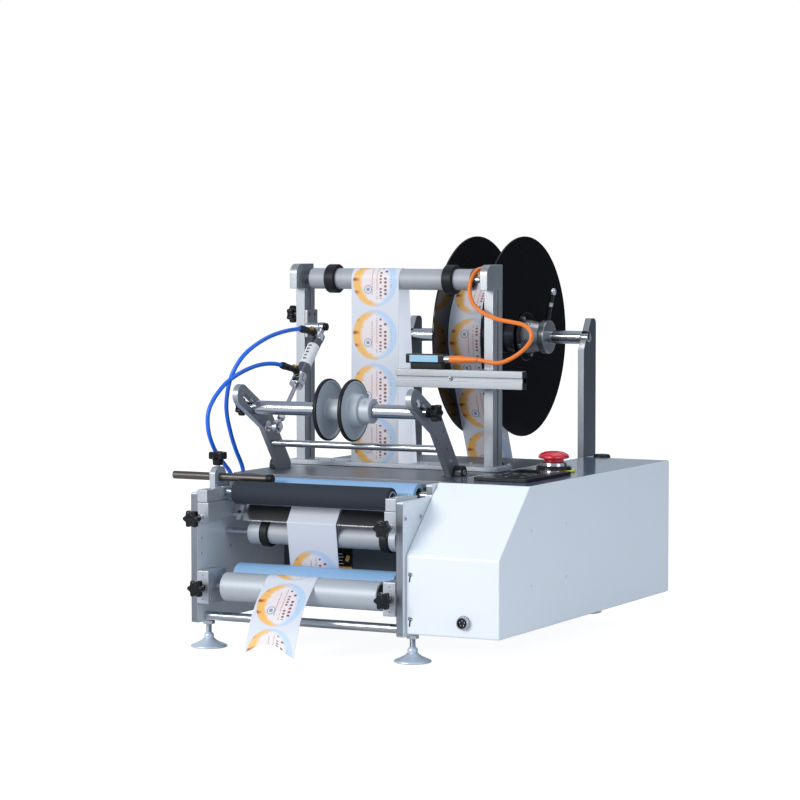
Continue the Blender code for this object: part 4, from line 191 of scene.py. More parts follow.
def maths(tree, operation, *values):
    """A Math node's result, from numbers or other nodes' results."""
    node = tree.nodes.new("ShaderNodeMath")
    node.operation = operation
    for slot, value in enumerate(values):
        if isinstance(value, (int, float)):
            node.inputs[slot].default_value = value
        else:
            tree.links.new(value, node.inputs[slot])
    return node.outputs[0]


def new_group(name, inputs, outputs):
    """A node group with its inputs, as (label, kind, default), and its outputs, as (label, kind)."""
    group = bpy.data.node_groups.new(name, "ShaderNodeTree")
    for label, kind, default in inputs:
        socket = group.interface.new_socket(label, in_out="INPUT", socket_type="NodeSocket" + kind)
        if default is not None:
            socket.default_value = default
    for label, kind in outputs:
        group.interface.new_socket(label, in_out="OUTPUT", socket_type="NodeSocket" + kind)
    return group, group.nodes.new("NodeGroupInput"), group.nodes.new("NodeGroupOutput")


def blended(tree, share, first, second):
    """Two colours mixed by a share, each one given as numbers or as another node's result."""
    mix = tree.nodes.new("ShaderNodeMix")
    mix.data_type = "RGBA"
    for socket, value in zip((mix.inputs["Factor"], mix.inputs[6], mix.inputs[7]), (share, first, second)):
        if isinstance(value, bpy.types.NodeSocket):
            tree.links.new(value, socket)
        else:
            socket.default_value = (*value, 1) if isinstance(value, tuple) else value
    return mix.outputs[2]


def bumped(tree, height, distance, strength):
    """Lets a height that changes over the surface raise it, in the light only."""
    bump = tree.nodes.new("ShaderNodeBump")
    bump.inputs["Distance"].default_value = distance
    bump.inputs["Strength"].default_value = strength
    tree.links.new(height, bump.inputs["Height"])
    tree.links.new(bump.outputs[0], tree.nodes["Principled BSDF"].inputs["Normal"])


def noise(tree, vector, scale, detail):
    node = tree.nodes.new("ShaderNodeTexNoise")
    node.inputs["Scale"].default_value = scale
    node.inputs["Detail"].default_value = detail
    tree.links.new(vector, node.inputs["Vector"])
    return node.outputs["Fac"]


def grain_group():
    """Fine grain along the tool marks and broad patches of handling, for every finish."""
    group, given, made = new_group(
        "worked_surface",
        (("Marks", "Vector", None), ("Place", "Vector", None), ("Colour", "Color", None),
         ("Tone", "Float", 0.1), ("Roughness", "Float", 0.4), ("Patches", "Float", 0.1)),
        (("Colour", "Color"), ("Roughness", "Float"), ("Height", "Float")))
    marks = noise(group, given.outputs["Marks"], 1.0, 3.0)
    broad = noise(group, given.outputs["Place"], 14.0, 2.0)
    mixed = maths(group, "MULTIPLY_ADD", marks, 0.6, maths(group, "MULTIPLY", broad, 0.4))
    swing = maths(group, "MULTIPLY", maths(group, "SUBTRACT", mixed, 0.5), given.outputs["Tone"])
    tinted = group.nodes.new("ShaderNodeVectorMath")
    tinted.operation = "SCALE"
    group.links.new(given.outputs["Colour"], tinted.inputs[0])
    group.links.new(maths(group, "MULTIPLY_ADD", swing, 2.0, 1.0), tinted.inputs["Scale"])
    worn = maths(group, "MULTIPLY_ADD", maths(group, "SUBTRACT", broad, 0.5), given.outputs["Patches"],
                 given.outputs["Roughness"])
    for label, value in (("Colour", tinted.outputs[0]), ("Roughness", worn), ("Height", marks)):
        group.links.new(value, made.inputs[label])
    return group


WORKED = grain_group()


def finish(name, colour, roughness, metallic=0.0, marks=(600, 600, 600), depth=0.0, tone=0.1,
           patches=0.08, **fixed):
    """A material: its colour and gloss, its tool marks per metre along X, Y and Z, and their depth."""
    made = bpy.data.materials.new(name)
    made.use_nodes = True
    nodes, links = made.node_tree.nodes, made.node_tree.links
    shader = nodes["Principled BSDF"]
    shader.inputs["Metallic"].default_value = metallic
    for label, value in fixed.items():
        shader.inputs[label.replace("_", " ")].default_value = value
    place = nodes.new("ShaderNodeTexCoord")
    scaled = nodes.new("ShaderNodeMapping")
    scaled.inputs["Scale"].default_value = marks
    links.new(place.outputs["Object"], scaled.inputs["Vector"])
    worked = nodes.new("ShaderNodeGroup")
    worked.node_tree = WORKED
    links.new(scaled.outputs[0], worked.inputs["Marks"])
    links.new(place.outputs["Object"], worked.inputs["Place"])
    for label, value in (("Colour", (*colour, 1)), ("Tone", tone), ("Roughness", roughness),
                         ("Patches", patches)):
        worked.inputs[label].default_value = value
    links.new(worked.outputs["Colour"], shader.inputs["Base Color"])
    links.new(worked.outputs["Roughness"], shader.inputs["Roughness"])
    if depth:
        bumped(made.node_tree, worked.outputs["Height"], depth, 0.6)
    return made


PLATE_ALUMINIUM = finish("plate_aluminium", (0.74, 0.785, 0.84), 0.38, 0.2, (900, 60, 900), 0.00003, 0.16)
EDGE_ALUMINIUM = finish("milled_aluminium", (0.47, 0.50, 0.55), 0.36, 0.5, (500, 500, 60), 0.00003, 0.14)
CHROME = finish("chromed_steel", (0.50, 0.52, 0.56), 0.2, 1.0, (60, 900, 900), 0.0, 0.06)
STEEL = finish("zinc_plated_steel", (0.62, 0.64, 0.68), 0.28, 1.0, (400, 400, 400), 0.00002, 0.2)
SAWN_EDGE = finish("wire_cut_edge", (0.22, 0.24, 0.275), 0.36, 0.75, (500, 500, 25), 0.00003, 0.35)
# Painted shade: a near-black finish put in the screw sockets, the keyholes and the ends of the roller tubes,
# standing in for the shadow inside them.
PAINTED_SHADE_HOLE = finish("painted_shade_recess", (0.02, 0.022, 0.028), 0.7, 0.0, tone=0.3)
BLACK_SCREW = finish("black_oxide_screw", (0.045, 0.045, 0.05), 0.38, 0.7, (700, 700, 700), 0.00002, 0.3)


def around(radius, sides, y=0.0, z=0.0, start=0.0):
    """Points on a circle, in Y and Z."""
    step = 2 * math.pi / sides
    return [(y + radius * math.cos(start + step * i), z + radius * math.sin(start + step * i))
            for i in range(sides)]


def arc(radius, centre, degrees):
    """Points on a circle in Y and Z, at the given degrees, counted from Y towards Z."""
    return [(centre[0] + radius * math.cos(math.radians(a)), centre[1] + radius * math.sin(math.radians(a)))
            for a in degrees]


def oblong(y0, z0, y1, z1):
    """A rectangle's outline in Y and Z."""
    return [(y0, z0), (y1, z0), (y1, z1), (y0, z1)]


def rounded(outline, radius, steps=4, closed=True):
    """The outline with its corners rounded, each by the radius or by what its sides leave room for."""
    points = [Vector(p) for p in outline]
    made = []
    for i, here in enumerate(points):
        if not closed and i in (0, len(points) - 1):
            made.append(tuple(here))
            continue
        before = points[i - 1] - here
        after = points[(i + 1) % len(points)] - here
        reach = min(radius, before.length * 0.45, after.length * 0.45)
        start = here + before.normalized() * reach
        end = here + after.normalized() * reach
        for k in range(steps + 1):
            t = k / steps
            made.append(tuple(start * (1 - t) ** 2 + here * (2 * t * (1 - t)) + end * t ** 2))
    return made


def soften(part, width, steps):
    """Bevels a part's sharp edges."""
    if not width:
        return part
    sharp = [e for e in part.edges if len(e.link_faces) == 2 and e.calc_face_angle() > SMOOTH]
    bmesh.ops.bevel(part, geom=sharp, offset=width, offset_type="OFFSET", segments=steps, profile=0.5,
                    affect="EDGES", clamp_overlap=True, material=-1)
    return part


def slab(outline, low, high, width=0.5, holes=(), steps=2):
    """A plate with its outline in Y and Z, from low to high along X, its edges eased."""
    part = bmesh.new()
    edges = []
    for loop in (outline, *holes):
        verts = [part.verts.new((low, y, z)) for y, z in loop]
        edges += [part.edges.new(pair) for pair in zip(verts, verts[1:] + verts[:1])]
    if holes:
        bmesh.ops.triangle_fill(part, edges=edges, use_beauty=True)
    else:
        part.faces.new(part.verts)
    grown = bmesh.ops.extrude_face_region(part, geom=part.faces[:])
    moved = [item for item in grown["geom"] if isinstance(item, bmesh.types.BMVert)]
    bmesh.ops.translate(part, vec=(high - low, 0, 0), verts=moved)
    bmesh.ops.recalc_face_normals(part, faces=part.faces)
    return soften(part, width, steps)


def block(low, high, width=0.5, steps=2):
    """A rectangular block between two corners, its edges eased."""
    part = bmesh.new()
    size = Vector(high) - Vector(low)
    middle = (Vector(high) + Vector(low)) / 2
    bmesh.ops.create_cube(part, size=1, matrix=Matrix.Translation(middle) @ Matrix.Diagonal((*size, 1)))
    return soften(part, width, steps)


def spun(profile, sides=64, ring=False, round_off=0.0):
    """A turned part: its profile, as (place along X, radius), spun about the X axis."""
    if round_off:
        profile = rounded(profile, round_off, 3, ring)
    part = bmesh.new()
    verts = [part.verts.new((along, 0, radius)) for along, radius in profile]
    edges = [part.edges.new(pair) for pair in zip(verts, verts[1:])]
    if ring:
        edges.append(part.edges.new((verts[-1], verts[0])))
    bmesh.ops.spin(part, geom=verts + edges, cent=(0, 0, 0), axis=TO_RIGHT, angle=2 * math.pi,
                   steps=sides, use_merge=True)
    bmesh.ops.remove_doubles(part, verts=part.verts, dist=0.001)
    bmesh.ops.recalc_face_normals(part, faces=part.faces)
    return part


def rod(low, high, radius, edge=0.6, sides=48):
    """A round rod along X, its ends eased."""
    return spun([(low, 0), (low, radius), (high, radius), (high, 0)], sides, round_off=edge)


def aim(place, way=TO_RIGHT):
    """Where a part drawn along X goes: its start, and the way it points."""
    turn = Vector(TO_RIGHT).rotation_difference(Vector(way)).to_matrix().to_4x4()
    return Matrix.Translation(Vector(place)) @ turn


def add(whole, part, place=None, slot=0):
    """Puts a part in its place in a piece, in one of the piece's finishes."""
    if place is not None:
        bmesh.ops.transform(part, matrix=place, verts=part.verts)
        if place.determinant() < 0:
            bmesh.ops.reverse_faces(part, faces=part.faces)
    for face in part.faces:
        face.material_index = slot
    holder = bpy.data.meshes.new("part")
    part.to_mesh(holder)
    part.free()
    whole.from_mesh(holder)
    bpy.data.meshes.remove(holder)


def refinish(whole, way, slot, least=0.9):
    """Gives another finish to the faces of the first one that look a given way."""
    for face in whole.faces:
        if face.material_index == 0 and face.normal.dot(way) > least:
            face.material_index = slot


def placed(name, whole, finishes):
    """Makes a finished part an object, with its place in the frame in its mesh."""
    bmesh.ops.transform(whole, matrix=TO_FRAME, verts=whole.verts)
    mesh = bpy.data.meshes.new(name)
    whole.to_mesh(mesh)
    whole.free()
    for item in finishes:
        mesh.materials.append(item)
    mesh.shade_smooth()
    mesh.set_sharp_from_angle(angle=SMOOTH)
    made = bpy.data.objects.new(name, mesh)
    scene.collection.objects.link(made)
    return made


def piece(name, whole, finishes, body="frame", nodes=()):
    """Makes a piece that rides on its body and stands in for its solids."""
    made = placed(name, whole, finishes)
    made.modifiers.new("even_shading", "WEIGHTED_NORMAL").keep_sharp = True
    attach(made, body)
    if nodes:
        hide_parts(*nodes)


def cap_screw(whole, place, way, radius=3.2, tall=2.2, slot=0, hole_slot=1):
    """A socket head screw, seen from its head: a short cylinder with a hexagon socket."""
    seat = aim(place, way)
    floor = tall * 0.35
    add(whole, spun([(0, 0), (0, radius), (tall, radius), (tall, radius * 0.55), (floor, radius * 0.5),
                     (floor, 0)], 24, round_off=0.25), seat, slot)
    # The hexagon socket is a dark plug in the near-black recess finish: painted shade for the shadow inside
    # the socket.
    add(whole, slab(around(radius * 0.52, 6), floor, tall * 0.45, 0), seat, hole_slot)


def mirror_x(x):
    return 2 * MIDDLE_X - x


# The two sides of the machine, with the sign along X that leads inward from each.
SIDES = (("left", 1), ("right", -1))


def on_side(inward, x):
    """A place given for the left side, there or mirrored to the right."""
    return x if inward > 0 else mirror_x(x)


def span_on_side(inward, x0, x1):
    return sorted((on_side(inward, x0), on_side(inward, x1)))


PLATE_OUTLINE = [(0, 0), (655, 0), (655, 193.2), (86, 193.2), (86, 177), (0, 177)]
FOOT_PLACES = (38, 600)
# Screws of the rods and posts behind the plates, and the small ones that hold the brackets.
PLATE_SCREWS = ((23, 8, 3.4), (271.5, 150, 3.6), (236, 120, 2.4), (236, 50, 2.4), (612, 90, 3.2),
                (640, 160, 3.2), (120, 185, 2.4), (505, 185, 2.4), (400, 185, 2.4))
INNER_SCREWS = ((10.9, 114.4, 1.7), (10.8, 94.1, 1.7), (87.9, 97.4, 2.0))
OUTER_SCREWS = ((7.3, 155.2, 3.4), (50.4, 154.6, 3.4))
for side, inward in SIDES:
    outer, inner = on_side(inward, 0), on_side(inward, PLATE_THICK)
    whole = bmesh.new()
    add(whole, slab(rounded(PLATE_OUTLINE, 3), min(outer, inner), max(outer, inner), 0.8))
    refinish(whole, Vector(TO_FRONT), 3)
    for y, z, radius in (PLATE_SCREWS if side == "left" else ()) + OUTER_SCREWS:
        cap_screw(whole, (outer + inward * 0.4, y, z), (-inward, 0, 0), radius, 1.6, 1, 2)
    for y, z, radius in INNER_SCREWS:
        cap_screw(whole, (inner - inward * 0.3, y, z), (inward, 0, 0), radius, 0.9, 1, 2)
    piece(side + "_plate", whole, (PLATE_ALUMINIUM, STEEL, PAINTED_SHADE_HOLE, SAWN_EDGE),
          nodes=("side_plate_" + side,))

# Levelling feet: a cast bell on a ball joint, a threaded stem and its lock nut.
FOOT_GREY = finish("bright_plated_foot", (0.70, 0.80, 0.92), 0.32, 0.4, (300, 300, 300), 0.00004, 0.2)
BELL = [(0, 0), (0, 23.5), (0.6, 24.8), (1.8, 25), (3, 24.2), (4.2, 21.5), (6, 17.2), (8.2, 12.6),
        (10.4, 9.4), (12.2, 7.8), (13, 6.2), (13.6, 6.6), (15.2, 7.0), (17, 6.9), (18.6, 6.0), (19.8, 4.8),
        (20.4, 4.0), (20.4, 0)]
THREAD_PITCH = 1.2
THREAD_ROOT, THREAD_CREST = 3.5, 4.0
thread = []
height = 20.6
while height < FOOT_TALL:
    thread += [(height, THREAD_ROOT), (height + THREAD_PITCH / 2, THREAD_CREST)]
    height += THREAD_PITCH
stem = [(20, 0), (20, THREAD_ROOT), *thread, (FOOT_TALL + 1, THREAD_ROOT), (FOOT_TALL + 1, 0)]
whole = bmesh.new()
for x in (5, mirror_x(5)):
    for y in FOOT_PLACES:
        stand = aim((x, y, -FOOT_TALL), UP)
        add(whole, spun(BELL, 48), stand)
        add(whole, spun(stem, 24), stand, 1)
        add(whole, slab(around(8.4, 6), FOOT_TALL - 5.5, FOOT_TALL - 0.5, 0.6), stand, 1)
piece("levelling_feet", whole, (FOOT_GREY, STEEL))

# Tie rod and web guide bar: ground steel rods screwed between the plates. The places of what the
# web runs round are given as Y, Z and radius, here and at the rollers.
WEB_BAR = (271.5, 150, 8)
whole = bmesh.new()
add(whole, rod(*BETWEEN_PLATES, 6), aim((0, 23, 8)))
piece("front_tie_rod", whole, (CHROME,), nodes=("tie_rod",))
whole = bmesh.new()
add(whole, rod(*BETWEEN_PLATES, WEB_BAR[2]), aim((0, *WEB_BAR[:2])))
piece("web_guide_bar", whole, (CHROME,), nodes=("web_drop_bar",))

# Deck: a 2 mm stainless sheet, brushed along its length, folded down at its front and back and
# slotted for the label web and for the feet of the press arms.
DECK_STEEL = finish("brushed_deck_steel", (0.20, 0.215, 0.245), 0.38, 1.0, (25, 1400, 900), 0.00003, 0.22,
                    0.14)
DECK_TOP = 195.5
DECK_THICK = 2
WEB_SLOT = rounded(oblong(84, 276.25, 186, 317.75), 2)
ARM_SLOTS = ((21, 35.5), (286, 300.5))
holes = [WEB_SLOT] + [rounded(oblong(low, 180.4, high, 220.5), 2) for low, high in ARM_SLOTS]
whole = bmesh.new()
add(whole, slab(oblong(0, 113, 321.5, 512), DECK_TOP - DECK_THICK, DECK_TOP, 0.4, holes), FLAT)
for y in (113, 510):
    add(whole, block((BETWEEN_PLATES[0], y, 188.5), (BETWEEN_PLATES[1], y + DECK_THICK, 194.2), 0.4))
for x in (40, 130, 225, 285):
    cap_screw(whole, (x, 400, DECK_TOP - 0.1), UP, 3.0, 1.5, 1, 2)
piece("deck_sheet", whole, (DECK_STEEL, STEEL, PAINTED_SHADE_HOLE), nodes=("deck",))

# Foot bar: a flat aluminium bar across the deck, on which the uprights stand.
ON_DECK = DECK_TOP + 0.3
FOOT_BAR_TOP = 202.3
whole = bmesh.new()
add(whole, slab(oblong(-6, 272, 327.5, 322), ON_DECK, FOOT_BAR_TOP, 0.8, [WEB_SLOT]), FLAT)
for x in (40, 66, 215, 250):
    cap_screw(whole, (x, 279, FOOT_BAR_TOP - 0.1), UP, 3.4, 2.0, 1, 2)
piece("uprights_foot_bar", whole, (EDGE_ALUMINIUM, STEEL, PAINTED_SHADE_HOLE), nodes=("upright_foot_bar",))

# Casing: one folded steel sheet, slanted at the front, in a bluish white gloss enamel. Keyhole
# slots at its front edge hang it on two screws, and four small rivets hold a board inside.
ENAMEL = finish("white_enamel", (0.83, 0.87, 0.925), 0.26, 0.0, (260, 260, 260), 0.00004, 0.02, 0.05,
                Coat_Weight=0.35, Coat_Roughness=0.08)
CASING_OUTLINE = [(8, 4), (8, 107), (102, 195.5), (584, 195.5), (584, 4)]
CASING_X = (321.8, 456.4)
KEYHOLES = (80.1, 21.8)
RIVETS = ((105.9, 136.6), (217.2, 136.3), (106.3, 64.4), (217.8, 64.7))
# Painted reflection: the top of the same white enamel sheet is given a dark slate-blue enamel, for the dark
# reflection that its gloss shows.
TOP_PAINTED_REFLECTION_ENAMEL = finish("slate_blue_painted_reflection_top", (0.10, 0.145, 0.22), 0.16, 0.0, (260, 260, 260), 0.00003, 0.04, 0.05,
                    Coat_Weight=0.25, Coat_Roughness=0.06)
whole = bmesh.new()
add(whole, slab(rounded(CASING_OUTLINE, 3, 5), *CASING_X, 1.6, steps=3))
refinish(whole, Vector(UP), 4, 0.95)
# The keyhole slots are not cut through: they are dark shapes laid on the front in the near-black recess
# finish, painted shade for the dark inside of the casing.
for z in KEYHOLES:
    for outline in (around(2.9, 20, 328.4, z + 2.6),
                    [(327.2, z + 1), (329.2, z + 1), (328.0, z - 7.5), (326.2, z - 7.5)]):
        add(whole, slab(outline, 7.7, 8.15, 0), FACING, 1)
    cap_screw(whole, (329.3, 8.3, z + 3.2), TO_FRONT, 2.2, 1.2, 2, 1)
for y, z in RIVETS:
    add(whole, spun([(0, 0), (0, 1.5), (0.35, 1.35), (0.7, 0.8), (0.8, 0)], 16), aim((456.3, y, z)), 2)
add(whole, block((405, 583.5, 36), (435, 588, 84), 0.8), slot=3)
add(whole, block((409, 587.8, 52), (431, 588.15, 68), 0.3), slot=1)
for x in (414, 420, 426):
    add(whole, block((x - 0.8, 586, 56), (x + 0.8, 588.3, 64), 0.2), slot=2)
BLACK_PLASTIC = finish("black_moulded_plastic", (0.010, 0.011, 0.015), 0.3, 0.0, (500, 500, 500), 0.00005,
                       0.25, Specular_IOR_Level=0.3)
piece("white_casing", whole, (ENAMEL, PAINTED_SHADE_HOLE, STEEL, BLACK_PLASTIC, TOP_PAINTED_REFLECTION_ENAMEL), nodes=("casing",))

# Signal socket: a round panel connector with a chrome ring and five pins in a black insert.
whole = bmesh.new()
seat = aim((406, 8.2, 24), TO_FRONT)
add(whole, spun([(0, 8), (0, 9.4), (1.2, 9.5), (1.6, 8.9), (5.6, 8.7), (6.6, 8.1), (6.6, 7.0), (2, 6.8),
                 (0, 6.8)], 48, True), seat)
add(whole, spun([(0, 0), (0, 6.9), (3.4, 6.9), (3.8, 6.4), (3.8, 0)], 40), seat, 1)
for y, z in around(3.6, 5, start=0.3):
    add(whole, rod(3.4, 6.0, 0.9, 0.3, 12), seat @ Matrix.Translation((0, y, z)), 0)
piece("signal_socket", whole, (CHROME, BLACK_PLASTIC))

# Control panel: a black moulded bezel with a dark glass window, a row of membrane keys and marks.
PANEL_GLASS = finish("panel_glass", (0.008, 0.01, 0.014), 0.08, 0.0, tone=0.1)
PALE_PRINT = finish("pale_print", (0.55, 0.6, 0.66), 0.5, 0.0, tone=0.1)
GREEN_LAMP = finish("green_indicator", (0.05, 0.5, 0.2), 0.3, 0.0, tone=0.1)
PANEL_FACE = 200.3
KEY_FACE, KEY_MARKS = 200.8, 200.98
whole = bmesh.new()
add(whole, slab(rounded(oblong(352, 146, 432, 289), 3), ON_DECK, PANEL_FACE + 0.1, 0.7), FLAT)
add(whole, slab(rounded(oblong(362, 228, 422, 276), 2), PANEL_FACE, KEY_FACE, 0.2), FLAT, 1)
for i in range(3):
    for k in range(2):
        x = 370 + 22 * i
        y = 166 + 26 * k
        key = aim((x, y, PANEL_FACE), UP)
        add(whole, spun([(0, 0), (0, 7.6), (0.3, 7.4), (0.55, 6.6), (0.6, 0)], 32), key)
        add(whole, block((x - 2.6, y - 0.5, KEY_FACE), (x + 2.6, y + 0.5, KEY_MARKS), 0), slot=2)
        if (i + k) % 2:
            add(whole, block((x - 0.5, y - 2.6, KEY_FACE), (x + 0.5, y + 2.6, KEY_MARKS), 0), slot=2)
for i in range(4):
    add(whole, block((364 + 14 * i, 216, PANEL_FACE), (372 + 14 * i, 217.2, PANEL_FACE + 0.2), 0), slot=2)
add(whole, spun([(0, 0), (0, 1.8), (0.4, 1.6), (0.7, 0)], 16), aim((426, 222, PANEL_FACE), UP), 3)
piece("panel_bezel", whole, (BLACK_PLASTIC, PANEL_GLASS, PALE_PRINT, GREEN_LAMP), nodes=("control_panel",))

# Emergency stop: a yellow ring and a black collar on the casing, and the red mushroom button,
# which has a pale ring on its stem and a dished, fluted cap.
SIGNAL_YELLOW = finish("signal_yellow", (0.82, 0.83, 0.06), 0.4, 0.0, (400, 400, 400), 0.00003, 0.08)
SIGNAL_RED = finish("signal_red", (0.72, 0.012, 0.045), 0.22, 0.0, (300, 300, 300), 0.00002, 0.1,
                    Coat_Weight=0.4)
PALE_PLASTIC = finish("pale_plastic", (0.85, 0.85, 0.86), 0.3, 0.0, tone=0.06)
FLUTE_DEPTH = 0.035


def flute(part, count, core, low, high):
    """Presses flutes into a turned part, along a stretch of it and outside its core."""
    for vert in part.verts:
        if low < vert.co.x < high and math.hypot(vert.co.y, vert.co.z) > core:
            angle = math.atan2(vert.co.z, vert.co.y)
            pull = 1 - FLUTE_DEPTH * (0.5 + 0.5 * math.cos(count * angle))
            vert.co.y *= pull
            vert.co.z *= pull
    return part


whole = bmesh.new()
up = aim((388, 328, ON_DECK), UP)
add(whole, spun([(0, 12), (0, 29.6), (0.4, 30), (2.0, 30), (2.4, 29.5), (2.4, 12)], 64, True), up)
add(whole, spun([(2.3, 11.5), (2.3, 24.4), (3, 25), (6.5, 24.4), (7.6, 22.6), (7.6, 11.5)], 64, True), up, 1)
add(whole, spun([(7.5, 11.5), (7.5, 18.4), (8, 19), (12, 18.4), (12.9, 17.4), (12.9, 14.8), (8.6, 14.6),
                 (8.6, 11.5)], 64, True), up, 2)
piece("stop_ring", whole, (SIGNAL_YELLOW, BLACK_PLASTIC, CHROME), nodes=("estop_base",))
whole = bmesh.new()
add(whole, rod(4.4, 17.6, 10.9, 0.4), up, 1)
add(whole, spun([(13.1, 0), (13.1, 13.2), (13.5, 13.6), (17.0, 13.6), (17.4, 13.0), (17.4, 0)], 48), up)
CAP = [(17.2, 0), (17.2, 14.8), (17.9, 19.4), (18.6, 21.2), (19.8, 21.5), (21.5, 21.3), (23.6, 19.9),
       (25.6, 17.0), (27.0, 13.2), (27.6, 10.4), (27.4, 8.0), (26.9, 5.0), (26.7, 0)]
add(whole, flute(spun(CAP, 96), 8, 16, 0, 30), up)
piece("stop_button", whole, (SIGNAL_RED, PALE_PLASTIC), "estop_button", ("estop_button",))

# Star knobs: glossy black moulded heads with six lobes on steel studs.
GLOSS_BLACK = finish("gloss_black_moulding", (0.006, 0.006, 0.008), 0.14, 0.0, (300, 300, 300), 0.00002, 0.2,
                     Specular_IOR_Level=0.3)
KNOB_RADIUS = 12.5
KNOB_LOBES = 6
KNOB_HEAD = 11


def star_knob(whole, seat, reach, black=0, steel=1):
    """A knob whose head ends at its reach from the seat."""
    lobes = []
    for angle in (math.radians(5 * i) for i in range(72)):
        radius = KNOB_RADIUS * (0.87 + 0.13 * math.cos(KNOB_LOBES * angle))
        lobes.append((radius * math.cos(angle), radius * math.sin(angle)))
    head = reach - KNOB_HEAD
    add(whole, rod(0.2, head, 3, 0.2, 20), seat, steel)
    add(whole, spun([(head - 8, 0), (head - 8, 6), (head - 7, 6.9), (head - 1, 7.4), (head + 0.5, 8.4),
                     (head + 0.5, 0)], 36), seat, black)
    add(whole, slab(lobes, head, reach - 0.7, 2.2, steps=4), seat, black)
    add(whole, spun([(reach - 0.9, 0), (reach - 0.9, 6.2), (reach - 0.3, 6), (reach, 5.4), (reach, 0)], 36),
        seat, black)


def ends(node):
    """The corners of a node's box, in millimetres from the machine's corner."""
    low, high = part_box(node)
    return (Vector(low) - corner) / MM, (Vector(high) - corner) / MM


# Each knob's node, its seat, the way it points, and how far it is turned in past its node's end.
for node, place, way, turned_in in (("knob_block_left", (17, 0, 144), TO_FRONT, 0),
                                    ("knob_block_right", (mirror_x(17), 0, 144), TO_FRONT, 0),
                                    ("knob_pinch_left", (19, -2, 49.5), TO_FRONT, 9),
                                    ("knob_pinch_right", (mirror_x(19), -2, 49.5), TO_FRONT, 8),
                                    ("knob_stop", (5, 63, 207.3), UP, 10)):
    low, high = ends(node)
    reach = (place[1] - low.y if way[1] else high.z - place[2]) - turned_in
    whole = bmesh.new()
    star_knob(whole, aim(place, way), reach)
    piece("star_" + node, whole, (GLOSS_BLACK, STEEL), node, (node,))

# Bearing blocks: milled aluminium, a lower block bolted to the plate and a cap over the foam
# roller's shaft. The brackets below hold the pinch roller and slide on their knobs' studs.
BLOCK_SCREWS = ((61.7, 153.2, 2.2), (37.2, 144.8, 1.6), (15.9, 153.3, 1.6), (26.9, 173.5, 1.9),
                (45.5, 173, 1.9))
LOWER_WIDE, CAP_WIDE, BRACKET_WIDE = 17, 15.4, 18
BEHIND_PLATE = BETWEEN_PLATES[0]
for side, inward in SIDES:
    whole = bmesh.new()
    for outline, wide in ((oblong(0, 138, 72, 163.7), LOWER_WIDE), (oblong(0, 164.1, 62, 181), CAP_WIDE)):
        add(whole, slab(rounded(outline, 1), *span_on_side(inward, BEHIND_PLATE, BEHIND_PLATE + wide), 0.5))
    for y, z, radius in BLOCK_SCREWS:
        face = on_side(inward, 27.1 if z < 164 else 25.5)
        cap_screw(whole, (face, y, z), (inward, 0, 0), radius, 0.9, 1, 2)
    for y in (18, 54):
        cap_screw(whole, (on_side(inward, 18), y, 180.6), UP, 2.6, 1.4, 1, 2)
    piece(side + "_bearing_block", whole, (EDGE_ALUMINIUM, STEEL, PAINTED_SHADE_HOLE),
          nodes=("bearing_block_" + side,))
    whole = bmesh.new()
    add(whole, slab(rounded(oblong(-2, 27, 45, 72), 1.5),
                    *span_on_side(inward, BEHIND_PLATE, BEHIND_PLATE + BRACKET_WIDE), 0.6))
    for y, z, radius in ((6, 64, 2.6), (6, 34, 2.6), (36, 38, 1.8), (36, 62, 1.8)):
        cap_screw(whole, (on_side(inward, 28.1), y, z), (inward, 0, 0), radius, 1.0, 1, 2)
    for z in (33, 66):
        cap_screw(whole, (on_side(inward, 19), -1.8, z), TO_FRONT, 1.8, 0.5, 1, 2)
    piece(side + "_pinch_bracket", whole, (EDGE_ALUMINIUM, STEEL, PAINTED_SHADE_HOLE),
          nodes=("pinch_bracket_" + side,))

# Peel plate: a polished stainless strip over which the label lets go, on a round bar between the
# bearing blocks, with a lug at each end.
POLISHED = finish("polished_stainless", (0.60, 0.59, 0.58), 0.2, 1.0, (30, 900, 900), 0.00001, 0.12)
PEEL_FRONT = Vector((56, 136.5))
PEEL_BACK = Vector((70, 157))
run = (PEEL_BACK - PEEL_FRONT).normalized()
under = Vector((run.y, -run.x)) * 3
whole = bmesh.new()
strip = [tuple(p) for p in (PEEL_FRONT, PEEL_FRONT + under, PEEL_BACK + under, PEEL_BACK)]
add(whole, slab(strip, 47, 274.5, 0.4))
add(whole, rod(27.7, 293.8, 4, 0.4), aim((0, 66, 143)))
for x in (38, mirror_x(38) - 6):
    add(whole, slab(rounded([(55, 137), (71, 137), (74, 154), (68, 156)], 1.5), x, x + 6, 0.5), slot=1)
    cap_screw(whole, (x + 3, 60.2, 147), (0, -0.82, 0.57), 2.4, 1.2, 2, 3)
piece("peel_strip", whole, (POLISHED, EDGE_ALUMINIUM, BLACK_SCREW, PAINTED_SHADE_HOLE), nodes=("peel_plate",))

# Back panel: a painted sheet behind the front rollers, with a small black data plate of no make.
PANEL_PAINT = finish("slate_paint", (0.045, 0.065, 0.082), 0.3, 0.0, (350, 350, 350), 0.00004, 0.12,
                     Coat_Weight=0.3)
whole = bmesh.new()
add(whole, block((10.4, 236, 42), (311.1, 238, 128), 0.5))
for x in (20, 301.5):
    for z in (50, 120):
        cap_screw(whole, (x, 236.1, z), TO_FRONT, 2.2, 0.9, 3, 1)
add(whole, slab(rounded(oblong(96, 54, 120.7, 84.5), 1), 235.4, 236.1, 0.1), FACING, 1)
add(whole, block((96.6, 235.3, 55), (120.1, 235.6, 57.6), 0), slot=2)
add(whole, slab([(109, 66), (114, 64), (117, 72), (112, 74)], 235.3, 235.6, 0), FACING, 2)
for i in range(4):
    low_z = 61 + 4.5 * i
    add(whole, block((98.5, 235.3, low_z), (106.5 - 1.5 * (i % 2), 235.6, low_z + 1.1), 0), slot=4)
